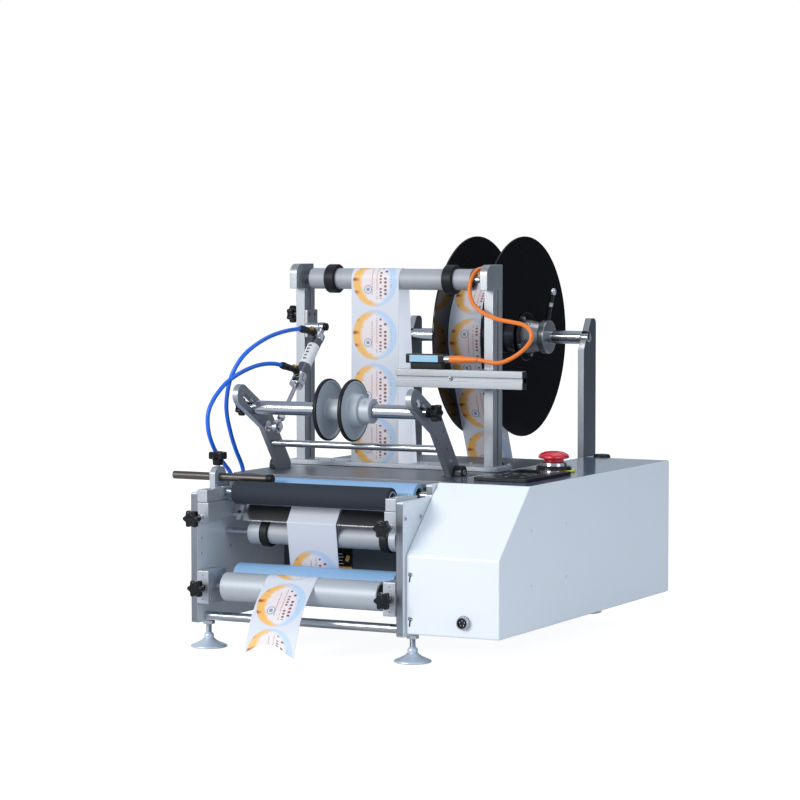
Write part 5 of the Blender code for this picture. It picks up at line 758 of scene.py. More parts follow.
AMBER = finish("amber_print", (0.85, 0.5, 0.05), 0.45, 0.0, tone=0.1)
piece("slate_back_panel", whole, (PANEL_PAINT, GLOSS_BLACK, AMBER, STEEL, PALE_PRINT), nodes=("back_panel",))

# Rollers: tubes with plugged ends that turn on ground steel shafts. One is sleeved in foam, two
# in blue silicone, and two carry rubber rings that keep the web from wandering.
TUBE_ALUMINIUM = finish("turned_aluminium_tube", (0.40, 0.42, 0.46), 0.6, 0.35, (900, 60, 60), 0.00002, 0.1)
PALE_ALUMINIUM = finish("pale_turned_aluminium", (0.46, 0.50, 0.55), 0.5, 0.25, (900, 60, 60), 0.00002, 0.08)
FOAM = finish("dense_foam", (0.017, 0.023, 0.036), 0.8, 0.0, (1400, 1400, 1400), 0.00012, 0.22)
BLUE_SILICONE = finish("blue_silicone", (0.27, 0.47, 0.74), 0.42, 0.0, (500, 500, 500), 0.00005, 0.08)
BLACK_RUBBER = finish("black_rubber", (0.010, 0.011, 0.014), 0.45, 0.0, (600, 600, 600), 0.00005, 0.2,
                      Specular_IOR_Level=0.25)


def tube(low, high, inner, outer, edge=0.8, sides=96):
    """A tube along X with eased ends."""
    ease = 0.3 * edge
    return spun([(low, inner), (low, outer - edge), (low + ease, outer - ease), (low + edge, outer),
                 (high - edge, outer), (high - ease, outer - ease), (high, outer - edge), (high, inner)],
                sides, True)


def roller(name, node, y, z, radius, low, high, shell, wall=3, extra=(), shaft=(10.4, 311.1), edge=0.8):
    """A roller: its shell, the tube and plugs inside it, its shaft, and rings on it."""
    whole = bmesh.new()
    axis = aim((0, y, z))
    add(whole, tube(low, high, radius - wall, radius, edge), axis, 0)
    if wall > 3:
        add(whole, tube(low - 0.5, high + 0.5, radius - wall - 1.6, radius - wall, 0.3), axis, 1)
    hollow = radius - wall - (1.5 if wall > 3 else 0)
    # Plugs just inside the tube's ends, in the near-black recess finish: painted shade for the shadow inside
    # the tube.
    for x in (low + 3, high - 5):
        add(whole, rod(x, x + 2, hollow + 0.1, 0), axis, 3)
    add(whole, rod(*shaft, 5, 0.5), axis, 2)
    for start, end, big, slot in extra:
        add(whole, tube(start, end, radius - 0.2, big, 1.2 if slot == 4 else 0.5), axis, slot)
    piece(name, whole, (shell, PALE_ALUMINIUM, CHROME, PAINTED_SHADE_HOLE, BLACK_RUBBER), node, (node,))


BLOCKS_BETWEEN = (27.5, 294.0)
REAR_GUIDE, RISING_GUIDE, TOP_ROLLER = (596, 132, 15), (327, 150, 15), (297, 460.5, 14.75)
DRIVE_ROLLER, PINCH_ROLLER = (59.76, 58.25, 20), (20, 49.8, 19.5)
roller("foam_sleeve", "foam_roller", 50, 175, 15.5, 41, 280.5, FOAM, 5, shaft=BLOCKS_BETWEEN, edge=2.6)
roller("upper_blue_sleeve", "blue_roller", 97, 177.5, 15.5, 26, 295.5, BLUE_SILICONE, 4)
roller("ringed_guide", "guide_roller", 79, 118.5, 15, 51, 277, TUBE_ALUMINIUM, 3,
       ((51, 69.6, 16.2, 1), (70, 82, 19, 4), (254, 266, 19, 4), (266.4, 277, 16.2, 1)))
roller("rear_web_guide", "rear_guide_roller", *REAR_GUIDE, 30, 291.5, TUBE_ALUMINIUM)
roller("rising_web_guide", "rise_guide_roller", *RISING_GUIDE, 30, 291.5, TUBE_ALUMINIUM)
roller("lower_blue_sleeve", "drive_roller", *DRIVE_ROLLER, 41, 285.5, BLUE_SILICONE, 5)
roller("alloy_pinch_roller", "pinch_roller", *PINCH_ROLLER, 44, 281.5, PALE_ALUMINIUM, shaft=(28.5, 293.0))
roller("ringed_top_roller", "top_roller", *TOP_ROLLER, 25, 280, TUBE_ALUMINIUM, 3,
       ((52, 67, 20.5, 4), (238, 253, 20.5, 4)), shaft=(17.0, 304.5))

# Stop rod: bronze-grey steel with a black rubber tip, held in a saddle clamp on the left plate.
STOP = (63, 193.5)
BRONZED = finish("bronzed_steel", (0.12, 0.105, 0.095), 0.36, 0.8, (60, 700, 700), 0.00002, 0.2)
whole = bmesh.new()
stop_axis = aim((0, *STOP))
add(whole, rod(-65, 84, 5.5, 0.8), stop_axis)
add(whole, spun([(83, 0), (83, 6.2), (90.8, 6.2), (91.7, 5.6), (92, 4.6), (92, 0)], 40), stop_axis, 1)
piece("sliding_stop", whole, (BRONZED, BLACK_RUBBER), "stop_rod", ("stop_rod",))
whole = bmesh.new()
SADDLE = [(48, 177.3), (78, 177.3), (78, 200), (71, 207.3), (55, 207.3), (48, 200)]
add(whole, slab(rounded(SADDLE, 2), 0.7, 9.3, 0.5, [around(5.8, 40, *STOP)]))
for y in (53, 73):
    cap_screw(whole, (9.2, y, 182), TO_RIGHT, 2.2, 1.0, 1, 2)
piece("saddle_clamp", whole, (EDGE_ALUMINIUM, STEEL, PAINTED_SHADE_HOLE), nodes=("stop_clamp",))

# Uprights: slotted aluminium bars on the foot bar, with a rounded block on top of each for the
# top roller's shaft. The left one has a clamping knob outside.
UPRIGHT = [(5, 282), (19, 282), (19, 293), (15.2, 293), (15.2, 301), (19, 301), (19, 312), (5, 312), (5, 301),
           (8.8, 301), (8.8, 293), (5, 293)]
EXTRUDED = finish("extruded_aluminium", (0.40, 0.42, 0.455), 0.4, 0.8, (900, 900, 30), 0.00003, 0.16)
TOP_BLOCK = [(263, 446.5), (313, 446.5), (313, 481.5), (277, 481.5)]
TOP_BLOCK += arc(14, (277, 467.5), range(100, 181, 10))
for side, inward in SIDES:
    whole = bmesh.new()
    outline = UPRIGHT if inward > 0 else [(mirror_x(x), y) for x, y in reversed(UPRIGHT)]
    add(whole, slab(outline, FOOT_BAR_TOP, 446.7, 0.5), FLAT)
    add(whole, slab(TOP_BLOCK, *span_on_side(inward, 5.3, 16.8), 0.7))
    outer = on_side(inward, 5.3)
    for y, z, radius in ((273.7, 461, 3.4), (300, 454, 2.4)):
        cap_screw(whole, (outer + inward * 0.3, y, z), (-inward, 0, 0), radius, 0.4, 1, 2)
    if side == "left":
        star_knob(whole, aim((4.9, 297, 409), TO_LEFT), 4.9 - ends("upright_left")[0].x, 3, 1)
    piece(side + "_slotted_upright", whole, (EXTRUDED, STEEL, PAINTED_SHADE_HOLE, GLOSS_BLACK),
          nodes=("upright_" + side,))

# Sensor bar: a slotted extrusion clamped to the right upright, with a plastic end cap. It carries
# the label sensor, a small black unit with a pale blue plate.
SENSOR_BLUE = finish("pale_blue_plate", (0.30, 0.60, 0.82), 0.35, 0.0, tone=0.08)
BAR = [(250, 312), (262, 312), (262, 337), (250, 337), (250, 327.5), (253, 327.5), (253, 321.5), (250, 321.5)]
whole = bmesh.new()
add(whole, slab(BAR, 181.5, 375.6, 0.5))
add(whole, slab(oblong(250.2, 312.2, 261.8, 336.8), 375.7, 377, 0.4), slot=1)
add(whole, block((376.2, 252, 321), (377, 260, 328), 0))
add(whole, block((296.5, 262, 312), (322.5, 281.7, 337), 0.6))
add(whole, block((296.5, 250.05, 328), (322.5, 251, 336.4), 0.3), slot=2)
for x, z in ((265.3, 325), (307.1, 333), (307.1, 317)):
    cap_screw(whole, (x, 251, z), TO_FRONT, 2.6, 0.9, 3, 4)
piece("slotted_sensor_bar", whole, (EXTRUDED, BLACK_PLASTIC, EDGE_ALUMINIUM, STEEL, PAINTED_SHADE_HOLE),
      nodes=("sensor_bar",))
ORANGE = finish("orange_jacket", (0.86, 0.21, 0.022), 0.42, 0.0, (60, 60, 60), 0.00001, 0.08)
whole = bmesh.new()
add(whole, slab(rounded(oblong(250.1, 345.3, 262, 358.3), 2.4), 197, 257, 0.8))
add(whole, block((204, 251, 337.3), (252, 261, 345.5), 0.5))
add(whole, block((203, 249.95, 347.2), (247, 250.2, 356.6), 0.1), slot=1)
for x, wide, z in ((206, 7, 354), (215, 3, 351), (222, 16, 353.6), (222, 11, 350.6), (206, 4, 349.6)):
    add(whole, block((x, 249.9, z), (x + wide, 250.0, z + 1.1), 0), slot=2)
plug = aim((0, 252, 351.5))
add(whole, tube(256.9, 265, 1, 4.6, 0.5, 40), plug, 3)
for x in (259, 262):
    add(whole, tube(x, x + 0.8, 4, 5.0, 0.2, 40), plug, 3)
add(whole, spun([(265, 0), (265, 4.8), (266, 5.2), (283, 5.2), (287, 4.5), (303, 3.7), (307, 3.2), (307, 0)],
                40), plug, 4)
piece("label_gap_sensor", whole, (BLACK_PLASTIC, SENSOR_BLUE, PALE_PRINT, STEEL, ORANGE),
      nodes=("label_sensor",))

# Reel: two gloss black discs on a chromed shaft, a core, and the roll of labels between them. The
# hub, a turned cone with a clamp ring and a lever, holds the right-hand disc.
GLOSS_DISC = finish("gloss_black_disc", (0.003, 0.003, 0.004), 0.07, 0.0, (200, 200, 200), 0.000004, 0.2,
                    0.04, Specular_IOR_Level=0.35)
DARK_ALUMINIUM = finish("satin_dark_aluminium", (0.38, 0.39, 0.41), 0.3, 0.85, (900, 60, 60), 0.00002, 0.15)
REEL = (625, 369.5)
DISC_RADIUS = 150
reel_axis = aim((0, *REEL))
whole = bmesh.new()
add(whole, tube(124.8, 127.4, 10, DISC_RADIUS, 0.5, 160), reel_axis)
add(whole, tube(127.3, 203.2, 10, 38, 0.3), reel_axis, 1)
piece("inner_disc_and_core", whole, (GLOSS_DISC, BLACK_PLASTIC), "reel", ("reel_spool",))
whole = bmesh.new()
add(whole, tube(203.4, 206, 10, DISC_RADIUS, 0.5, 160), reel_axis)
piece("outer_disc", whole, (GLOSS_DISC,), "reel", ("reel_disc",))
whole = bmesh.new()
add(whole, spun([(10.6, 0), (10.6, 6.4), (11.2, 7), (20.7, 7), (20.7, 9.6), (21.2, 10), (300.3, 10),
                 (300.8, 9.6), (300.8, 7), (310.3, 7), (310.9, 6.4), (310.9, 0)], 64), reel_axis)
add(whole, tube(112.8, 124.7, 9.9, 14, 0.8), reel_axis, 1)
piece("chromed_reel_shaft", whole, (CHROME, DARK_ALUMINIUM), "reel", ("reel_shaft",))
whole = bmesh.new()
add(whole, tube(206.3, 209.3, 10.2, 36, 0.8), reel_axis, 4)
add(whole, spun([(209.2, 10.1), (209.2, 24.6), (210, 25), (216, 24.6), (234, 20.4), (236, 20), (236, 10.1)],
                72, True), reel_axis, 0)
add(whole, tube(236.2, 246.8, 10.1, 25, 1.2), reel_axis, 0)
for y, z in around(30, 4, *REEL, start=0.45):
    cap_screw(whole, (209.1, y, z), TO_RIGHT, 3.2, 2.4, 2, 3)
for angle in (2.2, 3.4, 4.6):
    way = Vector((0.28, math.cos(angle), math.sin(angle)))
    cap_screw(whole, (218, REEL[0] + 23.9 * way.y, REEL[1] + 23.9 * way.z), way, 2.8, 0.6, 3, 2)
piece("turned_hub", whole, (DARK_ALUMINIUM, GLOSS_BLACK, STEEL, PAINTED_SHADE_HOLE, GLOSS_DISC), "reel", ("reel_hub",))
LEAN = math.radians(12)
whole = bmesh.new()
lever = aim((241.5, REEL[0], REEL[1] + 19), (math.sin(LEAN), 0, math.cos(LEAN)))
add(whole, rod(5.5, 15, 4, 0.4, 28), lever, 0)
add(whole, spun([(15, 0), (15, 3.2), (16, 3.6), (26, 3.2), (36, 3.6), (46, 3.2), (46, 0)], 28), lever, 0)
add(whole, tube(27, 33, 2, 3.9, 0.4, 28), lever, 1)
add(whole, spun([(45, 0), (45, 3.6), (46, 4.6), (50, 4.8), (53, 4.4), (54.6, 3), (54.6, 0)], 28), lever, 1)
piece("hub_lever", whole, (GLOSS_BLACK, CHROME), "reel_lever", ("reel_lever",))

# Reel posts: aluminium bars screwed inside the plates, each with an open notch for the shaft.
NOTCH_RADIUS = 7.3
low_corner, high_corner = Vector((605, 352)), Vector((632, 398))
slope = (high_corner - low_corner).normalized()
outward = Vector((-slope.y, slope.x))
mouth = Vector(REEL) + outward * (low_corner - Vector(REEL)).dot(outward)
tilt = math.degrees(math.atan2(slope.y, slope.x))
POST = [(605, 60), (650, 60), *arc(8, (642, 390), range(0, 91, 15)), tuple(high_corner),
        tuple(mouth + slope * NOTCH_RADIUS), *arc(NOTCH_RADIUS, REEL, (tilt - a for a in range(0, 181, 12))),
        tuple(mouth - slope * NOTCH_RADIUS), tuple(low_corner)]
# A dark metal: the cylinder's own dark bands and marks, and painted shade on the reel posts' right-hand
# faces.
SLATE_METAL_AND_PAINTED_SHADE = finish("slate_metal_and_painted_shade", (0.13, 0.145, 0.17), 0.36, 0.8, (900, 900, 40), 0.00003, 0.16)
for side, inward in SIDES:
    whole = bmesh.new()
    add(whole, slab(POST, *span_on_side(inward, BEHIND_PLATE, BEHIND_PLATE + 10), 0.6))
    # Painted shade: the faces of both posts that look to the right get the dark metal, a shaded copy of the
    # same aluminium.
    refinish(whole, Vector(TO_RIGHT), 3)
    for z in (80, 150, 185):
        cap_screw(whole, (on_side(inward, 20.1), 628, z), (inward, 0, 0), 3, 1, 1, 2)
    piece(side + "_reel_post", whole, (EXTRUDED, STEEL, PAINTED_SHADE_HOLE, SLATE_METAL_AND_PAINTED_SHADE), nodes=("reel_post_" + side,))

# Press arms: cranked aluminium arms joined by a cross rod, swung by the air cylinder on the left
# one. Their shaft, clamped in the slots by knobs, carries the two press wheels.
TIP, ELBOW, PIVOT = Vector((84.5, 305)), Vector((152.1, 267.3)), Vector((203, 200))
HALF = 14.5
upper, lower = (ELBOW - TIP).normalized(), (PIVOT - ELBOW).normalized()
upper_side, lower_side = Vector((-upper.y, upper.x)), Vector((-lower.y, lower.x))
mitre = (upper_side + lower_side).normalized()
mitre *= HALF / mitre.dot(upper_side)


def cap_arc(centre, radius, way, steps=16):
    """Half a circle that bulges along the way, from its left side to its right."""
    left = Vector((-way.y, way.x))
    return [tuple(centre + (left * math.cos(angle) + way * math.sin(angle)) * radius)
            for angle in (math.pi * i / steps for i in range(steps + 1))]


ARM = [tuple(ELBOW + mitre), *cap_arc(PIVOT, HALF, lower), tuple(ELBOW - mitre), *cap_arc(TIP, HALF, -upper)]
SLOT_START = TIP + (ELBOW - TIP) * 0.1
SHAFT = Vector((118.3, 286.15))
ARM_HOLES = [cap_arc(SHAFT, 5, upper, 10) + cap_arc(SLOT_START, 5, -upper, 10),
             around(2.3, 20, 166.9, 257.5), around(2.3, 20, 178.4, 233.4)]
STUD = (151, 258)
ARM_PAINTED_SHADE_SIDE = finish("arm_painted_shade_side", (0.25, 0.275, 0.32), 0.4, 0.7, (900, 900, 40), 0.00003, 0.16)
whole = bmesh.new()
for _, inward in SIDES:
    add(whole, slab(ARM, *span_on_side(inward, 24, 32.5), 0.9, ARM_HOLES))
    for y, z, radius in ((*PIVOT, 5.2), (188.6, 216.5, 2.4)):
        cap_screw(whole, (on_side(inward, 24) + inward * 0.3, y, z), (-inward, 0, 0), radius, 1.6, 2, 3)
# Painted shade: the arms' faces that look to the right get a darker grey, a shaded copy of the same
# aluminium.
refinish(whole, Vector(TO_RIGHT), 4)
add(whole, rod(32.6, 288.9, 5, 0.3), aim((0, 166, 234)), 1)
stud = aim((0, *STUD))
add(whole, rod(32.4, 51.7, 4, 0.3), stud, 2)
add(whole, rod(32.5, 34.6, 8, 0.4), stud, 2)
add(whole, slab(around(6, 6), 51.7, 54.6, 0.5), stud, 2)
piece("cranked_press_arms", whole, (EXTRUDED, CHROME, STEEL, PAINTED_SHADE_HOLE, ARM_PAINTED_SHADE_SIDE), "press_arm",
      ("press_arm_left", "press_arm_right"))
whole = bmesh.new()
shaft = aim((0, *SHAFT))
low, high = ends("press_shaft")
add(whole, rod(32.8, 288.7, 9.6, 0.6), shaft)
add(whole, rod(24.2, 33, 4.6, 0.2), shaft)
add(whole, rod(288.5, 297.3, 4.6, 0.2), shaft)
star_knob(whole, aim((23.9, *SHAFT), TO_LEFT), 23.9 - low.x, 1, 2)
star_knob(whole, aim((297.6, *SHAFT), TO_RIGHT), high.x - 297.6, 1, 2)
piece("press_axle", whole, (CHROME, GLOSS_BLACK, STEEL), "press_arm", ("press_shaft",))

# Press wheels: turned from one piece, with dished faces and a rubber ring round each rim.
WHEEL_PROFILE = [
    (139.6, 9.9), (139.6, 14), (140.6, 15), (144.6, 15), (146.4, 17), (146.9, 36.5), (144.6, 38),
    (144.6, 40.2), (150.2, 40.2), (150.2, 38), (147.9, 36.5), (148.4, 17), (150.2, 15), (182.6, 15),
    (184.4, 17), (184.9, 36.5), (182.6, 38), (182.6, 40.2), (188.2, 40.2), (188.2, 38), (186.4, 36.5),
    (186.8, 27), (188.6, 24.2), (199.6, 21.6), (200.6, 20.6), (200.8, 17.4), (202, 17), (215.8, 17),
    (216.8, 16), (216.8, 9.9)]
whole = bmesh.new()
add(whole, spun(WHEEL_PROFILE, 112, True), shaft)
for low, high in ((144.4, 150.4), (182.4, 188.4)):
    add(whole, spun([(low + 0.3, 39.8), (low, 40.6), (low + 0.5, 41.8), (low + 1.6, 42.4), (high - 1.6, 42.4),
                     (high - 0.5, 41.8), (high, 40.6), (high - 0.3, 39.8)], 112, True), shaft, 1)
cap_screw(whole, (209, SHAFT.x - 12, SHAFT.y + 11.4), (0, -0.72, 0.69), 2.2, 0.9, 2, 3)
piece("turned_press_wheels", whole, (PALE_ALUMINIUM, BLACK_RUBBER, STEEL, PAINTED_SHADE_HOLE), "press_wheels",
      ("press_wheels",))

# Pivot blocks: black anodised blocks with a rounded top. They stand on the deck inside the plates,
# and the arms swing on them.
DARK_ANODISED = finish("black_anodised", (0.03, 0.032, 0.036), 0.32, 0.6, (600, 600, 600), 0.00002, 0.2)
PIVOT_BLOCK = [(193.5, 195.9), (212.5, 195.9), *arc(9.5, (203, 200.3), range(0, 181, 12))]
for side, inward in SIDES:
    whole = bmesh.new()
    add(whole, slab(PIVOT_BLOCK, *span_on_side(inward, 10.7, 23.7), 0.7))
    cap_screw(whole, (on_side(inward, 10.7), 203, 200.3), (-inward, 0, 0), 4, 0.6, 1, 2)
    piece(side + "_pivot_block", whole, (DARK_ANODISED, STEEL, PAINTED_SHADE_HOLE), nodes=("arm_pivot_block_" + side,))

# Air cylinder: a small stainless barrel between crimped caps, with a white data sticker, swivel
# fittings of black plastic on brass, and a rod that ends in an eye on the left arm's stud. It hangs
# from a pin on a bracket of the left upright.
BRASS = finish("brass", (0.62, 0.38, 0.11), 0.25, 1.0, (400, 400, 400), 0.00001, 0.15)
STICKER = finish("white_sticker", (0.80, 0.81, 0.83), 0.5, 0.0, tone=0.05)
CYLINDER_X = 48
REAR_PIN, ROD_PIN = Vector((282, 392)), Vector(STUD)
stroke = (ROD_PIN - REAR_PIN).normalized()
cylinder_way = Vector((0, stroke.x, stroke.y))
cylinder_side = Vector((0, stroke.y, -stroke.x))
third_way = cylinder_way.cross(cylinder_side)
cylinder_place = Matrix((cylinder_way, cylinder_side, third_way)).transposed().to_4x4()
cylinder_place.translation = (CYLINDER_X, *REAR_PIN)


def on_cylinder(along, across):
    """A place beside the cylinder's axis: how far from its rear pin, and how far out."""
    return Vector((CYLINDER_X, *REAR_PIN)) + cylinder_way * along + cylinder_side * across


BARREL = [(5.5, 0), (5.5, 4.4), (8, 5), (15, 5), (15.6, 8.4), (16.4, 9.4), (17.5, 9.6), (25, 9.6), (26, 9.2),
          (26.6, 8.8), (91.4, 8.8), (92, 9.2), (93, 9.6), (101.5, 9.6), (102.6, 9.2), (103, 8), (104, 5.4),
          (111.8, 5.4), (112, 3.2), (112, 0)]
whole = bmesh.new()
add(whole, tube(-3.4, 3.4, 4.2, 6.5, 0.8, 40), aim((CYLINDER_X, *REAR_PIN)))
add(whole, spun(BARREL, 64), cylinder_place)
for low, high in ((27, 37.6), (74.4, 91)):
    add(whole, tube(low, high, 8.6, 8.9, 0.1, 64), cylinder_place, 3)
add(whole, slab(around(11, 6, start=0.3), 103.4, 111.6, 1.2), cylinder_place)
add(whole, spun([(38, 8.82), (38, 8.95), (74, 8.95), (74, 8.82)], 64, True), cylinder_place, 2)
for i in range(5):
    add(whole, block((42 + 6 * i, 8.6, -2.4 + (i % 2)), (44.5 + 6 * i, 9.02, 2.2), 0), cylinder_place, 3)
UPPER_MOUTH, LOWER_MOUTH = (40, 231, 391), (40, 177, 342)
CAP_RADIUS, SWIVEL_HEIGHT = 9.2, 6.5
for at, mouth in ((24, Vector(UPPER_MOUTH)), (96, Vector(LOWER_MOUTH))):
    stem = aim(on_cylinder(at, CAP_RADIUS), cylinder_side)
    add(whole, rod(0, 4, 3.6, 0.2, 28), stem, 4)
    add(whole, rod(2.6, 10.4, 5.4, 0.8, 32), stem, 1)
    add(whole, slab(around(3.9, 6), 10.4, 14.4, 0.4), stem, 4)
    add(whole, rod(14, 15.6, 2.4, 0.5, 20), stem, 4)
    heart = on_cylinder(at, CAP_RADIUS + SWIVEL_HEIGHT)
    reach = (mouth - heart).length
    neck = aim(heart, mouth - heart)
    add(whole, spun([(2, 0), (2, 4.4), (reach - 9, 4.8), (reach - 8, 5.2), (reach - 3, 5.2),
                     (reach - 2.6, 4.2), (reach - 0.4, 4.6), (reach, 4.4), (reach, 3.2), (reach - 1, 0)], 36),
        neck, 1)
piece("stainless_cylinder", whole, (CHROME, BLACK_PLASTIC, STICKER, SLATE_METAL_AND_PAINTED_SHADE, BRASS), "cylinder",
      ("cylinder_barrel",))
whole = bmesh.new()
length = (ROD_PIN - REAR_PIN).length
add(whole, rod(60, length - 9, 3, 0.2, 32), cylinder_place, 0)
add(whole, slab(around(5.6, 6), length - 19.5, length - 13.5, 0.5), cylinder_place, 1)
add(whole, tube(-3.4, 3.4, 6.8, 9.4, 0.8, 48), aim((CYLINDER_X, *ROD_PIN)), 1)
piece("chromed_piston_rod", whole, (CHROME, STEEL), "piston_rod", ("piston_rod",))
whole = bmesh.new()
add(whole, slab(rounded(oblong(282, 376, 312, 416), 2), 19.4, 23.3, 0.5,
                [around(2.6, 20, 289, 409), around(2.6, 20, 304, 409)]))
for y in (289, 304):
    cap_screw(whole, (23.1, y, 383), TO_RIGHT, 2.6, 1.6, 1, 2)
pin = aim((0, *REAR_PIN))
add(whole, rod(23.2, 44.2, 6, 0.6, 36), pin)
add(whole, rod(44, 52, 3.9, 0.2, 28), pin, 1)
add(whole, rod(51.9, 55.8, 5.5, 1.2, 36), pin, 3)
piece("cylinder_hanger", whole, (EXTRUDED, STEEL, PAINTED_SHADE_HOLE, GLOSS_BLACK), nodes=("cylinder_bracket",))

# Air valve behind the left plate, its two elbows outside it, and the regulator on the back of the
# casing, with a ribbed knob and a smoked bowl.
whole = bmesh.new()
add(whole, block((10.4, 118, 150), (32.2, 140, 178), 1.0))
add(whole, block((10.4, 140.4, 151), (31, 170, 177), 2.0), slot=1)
for z in (157, 171):
    cap_screw(whole, (32.1, 123, z), TO_RIGHT, 1.8, 0.8, 2, 3)
for y in (128, 158):
    add(whole, slab(rounded(oblong(y - 6, 157, y + 6, 167), 3), -15, -3, 1.0), slot=1)
    add(whole, tube(0, 3.6, 3.4, 5.8, 0.8, 36), aim((-9, y, 167), UP), 1)
    add(whole, slab(around(5.4, 6, y, 162), -3, -0.3, 0.4), slot=2)
piece("air_valve_and_elbows", whole, (EDGE_ALUMINIUM, BLACK_PLASTIC, STEEL, PAINTED_SHADE_HOLE), nodes=("air_valve",))
SMOKED = finish("smoked_polycarbonate", (0.05, 0.055, 0.06), 0.12, 0.0, tone=0.1, Coat_Weight=0.3)
whole = bmesh.new()
add(whole, block((322.6, 584.4, 131.2), (360.4, 622.2, 168.8), 2.0))
REGULATOR_KNOB = [(0, 0), (0, 11), (1, 12), (4, 12), (6, 12.9), (26, 12.9), (29, 12), (30.3, 9.5), (30.4, 0)]
add(whole, flute(spun(REGULATOR_KNOB, 72), 24, 12.5, 5, 28), aim((341.5, 603.3, 168.6), UP))
add(whole, spun([(0, 0), (0, 14), (3, 15), (28, 14.6), (35, 12), (38.5, 7), (39.8, 3), (40, 0)], 56),
    aim((341.5, 603.3, 131.3), (0, 0, -1)), 1)
add(whole, spun([(0, 0), (0, 9.5), (1.5, 9.8), (2, 9), (2.1, 0)], 40), aim((360.3, 603.3, 150)), 2)
add(whole, slab([(602.6, 148), (604, 148), (604.6, 156), (602.9, 156)], 362.4, 362.7, 0))
piece("filter_regulator", whole, (BLACK_PLASTIC, SMOKED, STICKER), nodes=("air_regulator",))

# Air tubes and the sensor's cable: two blue tubes from the cylinder's fittings down to the elbows
# on the left plate, and one orange cable from the sensor, up and over, down behind the upright.
BLUE_TUBE = finish("blue_polyurethane", (0.010, 0.14, 0.74), 0.36, 0.0, (40, 40, 40), 0.0, 0.06)
UPPER_ROUTE = (
    UPPER_MOUTH, (38, 197, 389), (34, 165, 384), (29, 140, 376), (23, 121, 366), (17, 109, 355),
    (11, 103, 343), (6, 100, 331), (2, 99, 319), (-2, 100, 303), (-5, 103, 287), (-7, 109, 271),
    (-8, 117, 255), (-9, 127, 238), (-9, 137, 222), (-9, 147, 209), (-9, 154, 197), (-9, 157, 184),
    (-9, 158, 177), (-9, 158, 171))
LOWER_ROUTE = (
    LOWER_MOUTH, (36, 166, 344), (31, 154, 344.5), (25, 140, 343), (19, 125, 339), (14.6, 106, 333),
    (9.6, 92, 326), (5, 83, 319), (1, 76, 311), (-3, 71, 303), (-6, 66, 294), (-8, 62, 285),
    (-9, 60, 275), (-9, 60, 264), (-9, 63, 252), (-9, 69, 241), (-9, 78, 229), (-9, 90, 218),
    (-9, 104, 207), (-9, 118, 196), (-9, 126.5, 184), (-9, 128, 177), (-9, 128, 171))
CABLE_ROUTE = (
    (308, 252, 351.5), (320, 251, 350), (334, 249, 348), (349, 247, 350), (366, 245, 357.5),
    (380, 244, 367), (389.5, 243, 377), (392.5, 243, 384.5), (391, 244, 391), (385, 247, 397),
    (374, 251, 401.5), (357, 256, 404), (338, 261, 406.5), (321, 266, 410.5), (306, 270, 416),
    (294, 272, 424), (287, 272, 435), (284.5, 273, 447), (285, 276, 459), (287, 282, 469),
    (290, 291, 475), (294, 302, 476), (299, 312, 470), (303, 318, 459), (306, 320, 445),
    (308, 320, 425), (309, 320, 400), (309, 320, 370), (309, 320, 340), (309, 320, 310),
    (309, 320, 280), (309, 320, 250), (309, 320, 225), (309, 320, 205))


def smooth_line(route, pace=3.0):
    """Points about one pace apart on a smooth line through the route, in millimetres."""
    knots = [Vector(p) for p in route]
    knots = [knots[0] * 2 - knots[1], *knots, knots[-1] * 2 - knots[-2]]
    line = []
    for a, b, c, d in zip(knots, knots[1:], knots[2:], knots[3:]):
        count = max(2, round((c - b).length / pace))
        for i in range(count):
            t = i / count
            line.append(0.5 * (2 * b + (c - a) * t + (2 * a - 5 * b + 4 * c - d) * t * t
                               + (3 * b - a - 3 * c + d) * t ** 3))
    return line + [knots[-2]]


def swept(line, radius, sides=20):
    """A round tube along the line, closed at both ends."""
    part = bmesh.new()
    across = Vector(UP)
    rings = []
    for i, point in enumerate(line):
        ahead = (line[min(i + 1, len(line) - 1)] - line[max(i - 1, 0)]).normalized()
        across = (across - ahead * across.dot(ahead)).normalized()
        third = ahead.cross(across)
        rings.append([part.verts.new(point + across * y + third * z) for y, z in around(radius, sides)])
    for a, b in zip(rings, rings[1:]):
        for k in range(sides):
            part.faces.new((a[k], a[(k + 1) % sides], b[(k + 1) % sides], b[k]))
    part.faces.new(rings[0])
    part.faces.new(rings[-1])
    bmesh.ops.recalc_face_normals(part, faces=part.faces)
    return part


# An air tube is left where it is drawn, on no body, and the cable stays with the frame.
for name, node, route, radius, jacket in (
        ("upper_blue_tube", "air_tube_upper", UPPER_ROUTE, 3, BLUE_TUBE),
        ("lower_blue_tube", "air_tube_lower", LOWER_ROUTE, 3, BLUE_TUBE),
        ("orange_cable", "sensor_cable", CABLE_ROUTE, 2.9, ORANGE)):
    line = smooth_line(route)
    made = placed(name, swept(line, radius), (jacket,))
    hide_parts(node)
    path = [TO_FRAME @ point for point in line]
    run = sum((b - a).length for a, b in zip(path, path[1:]))
    if jacket is BLUE_TUBE:
        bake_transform(made)
    else:
        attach(made, "frame")
whole = bmesh.new()
add(whole, spun([(0, 3.1), (0, 6.4), (1.4, 6.2), (3.4, 4.6), (4.4, 3.1)], 36, True),
    aim((309, 320, FOOT_BAR_TOP + 0.1), UP))
piece("cable_grommet", whole, (BLACK_RUBBER,))

# Label web: glassine paper from the roll, under and over the guide rollers, over the peel plate
# and out between the pinch rollers to a torn end. Round labels lie on it one pitch apart, with
# an amber crescent, a pale blue one and marks that say nothing.
PITCH = 75.0
LABEL_RADIUS = 35.0
LINER_COLOUR = (0.64, 0.67, 0.75)


def from_axis(tree, a, b):
    """How far a place is from an axis, from its two offsets."""
    squares = [maths(tree, "MULTIPLY", offset, offset) for offset in (a, b)]
    return maths(tree, "SQRT", maths(tree, "ADD", *squares))


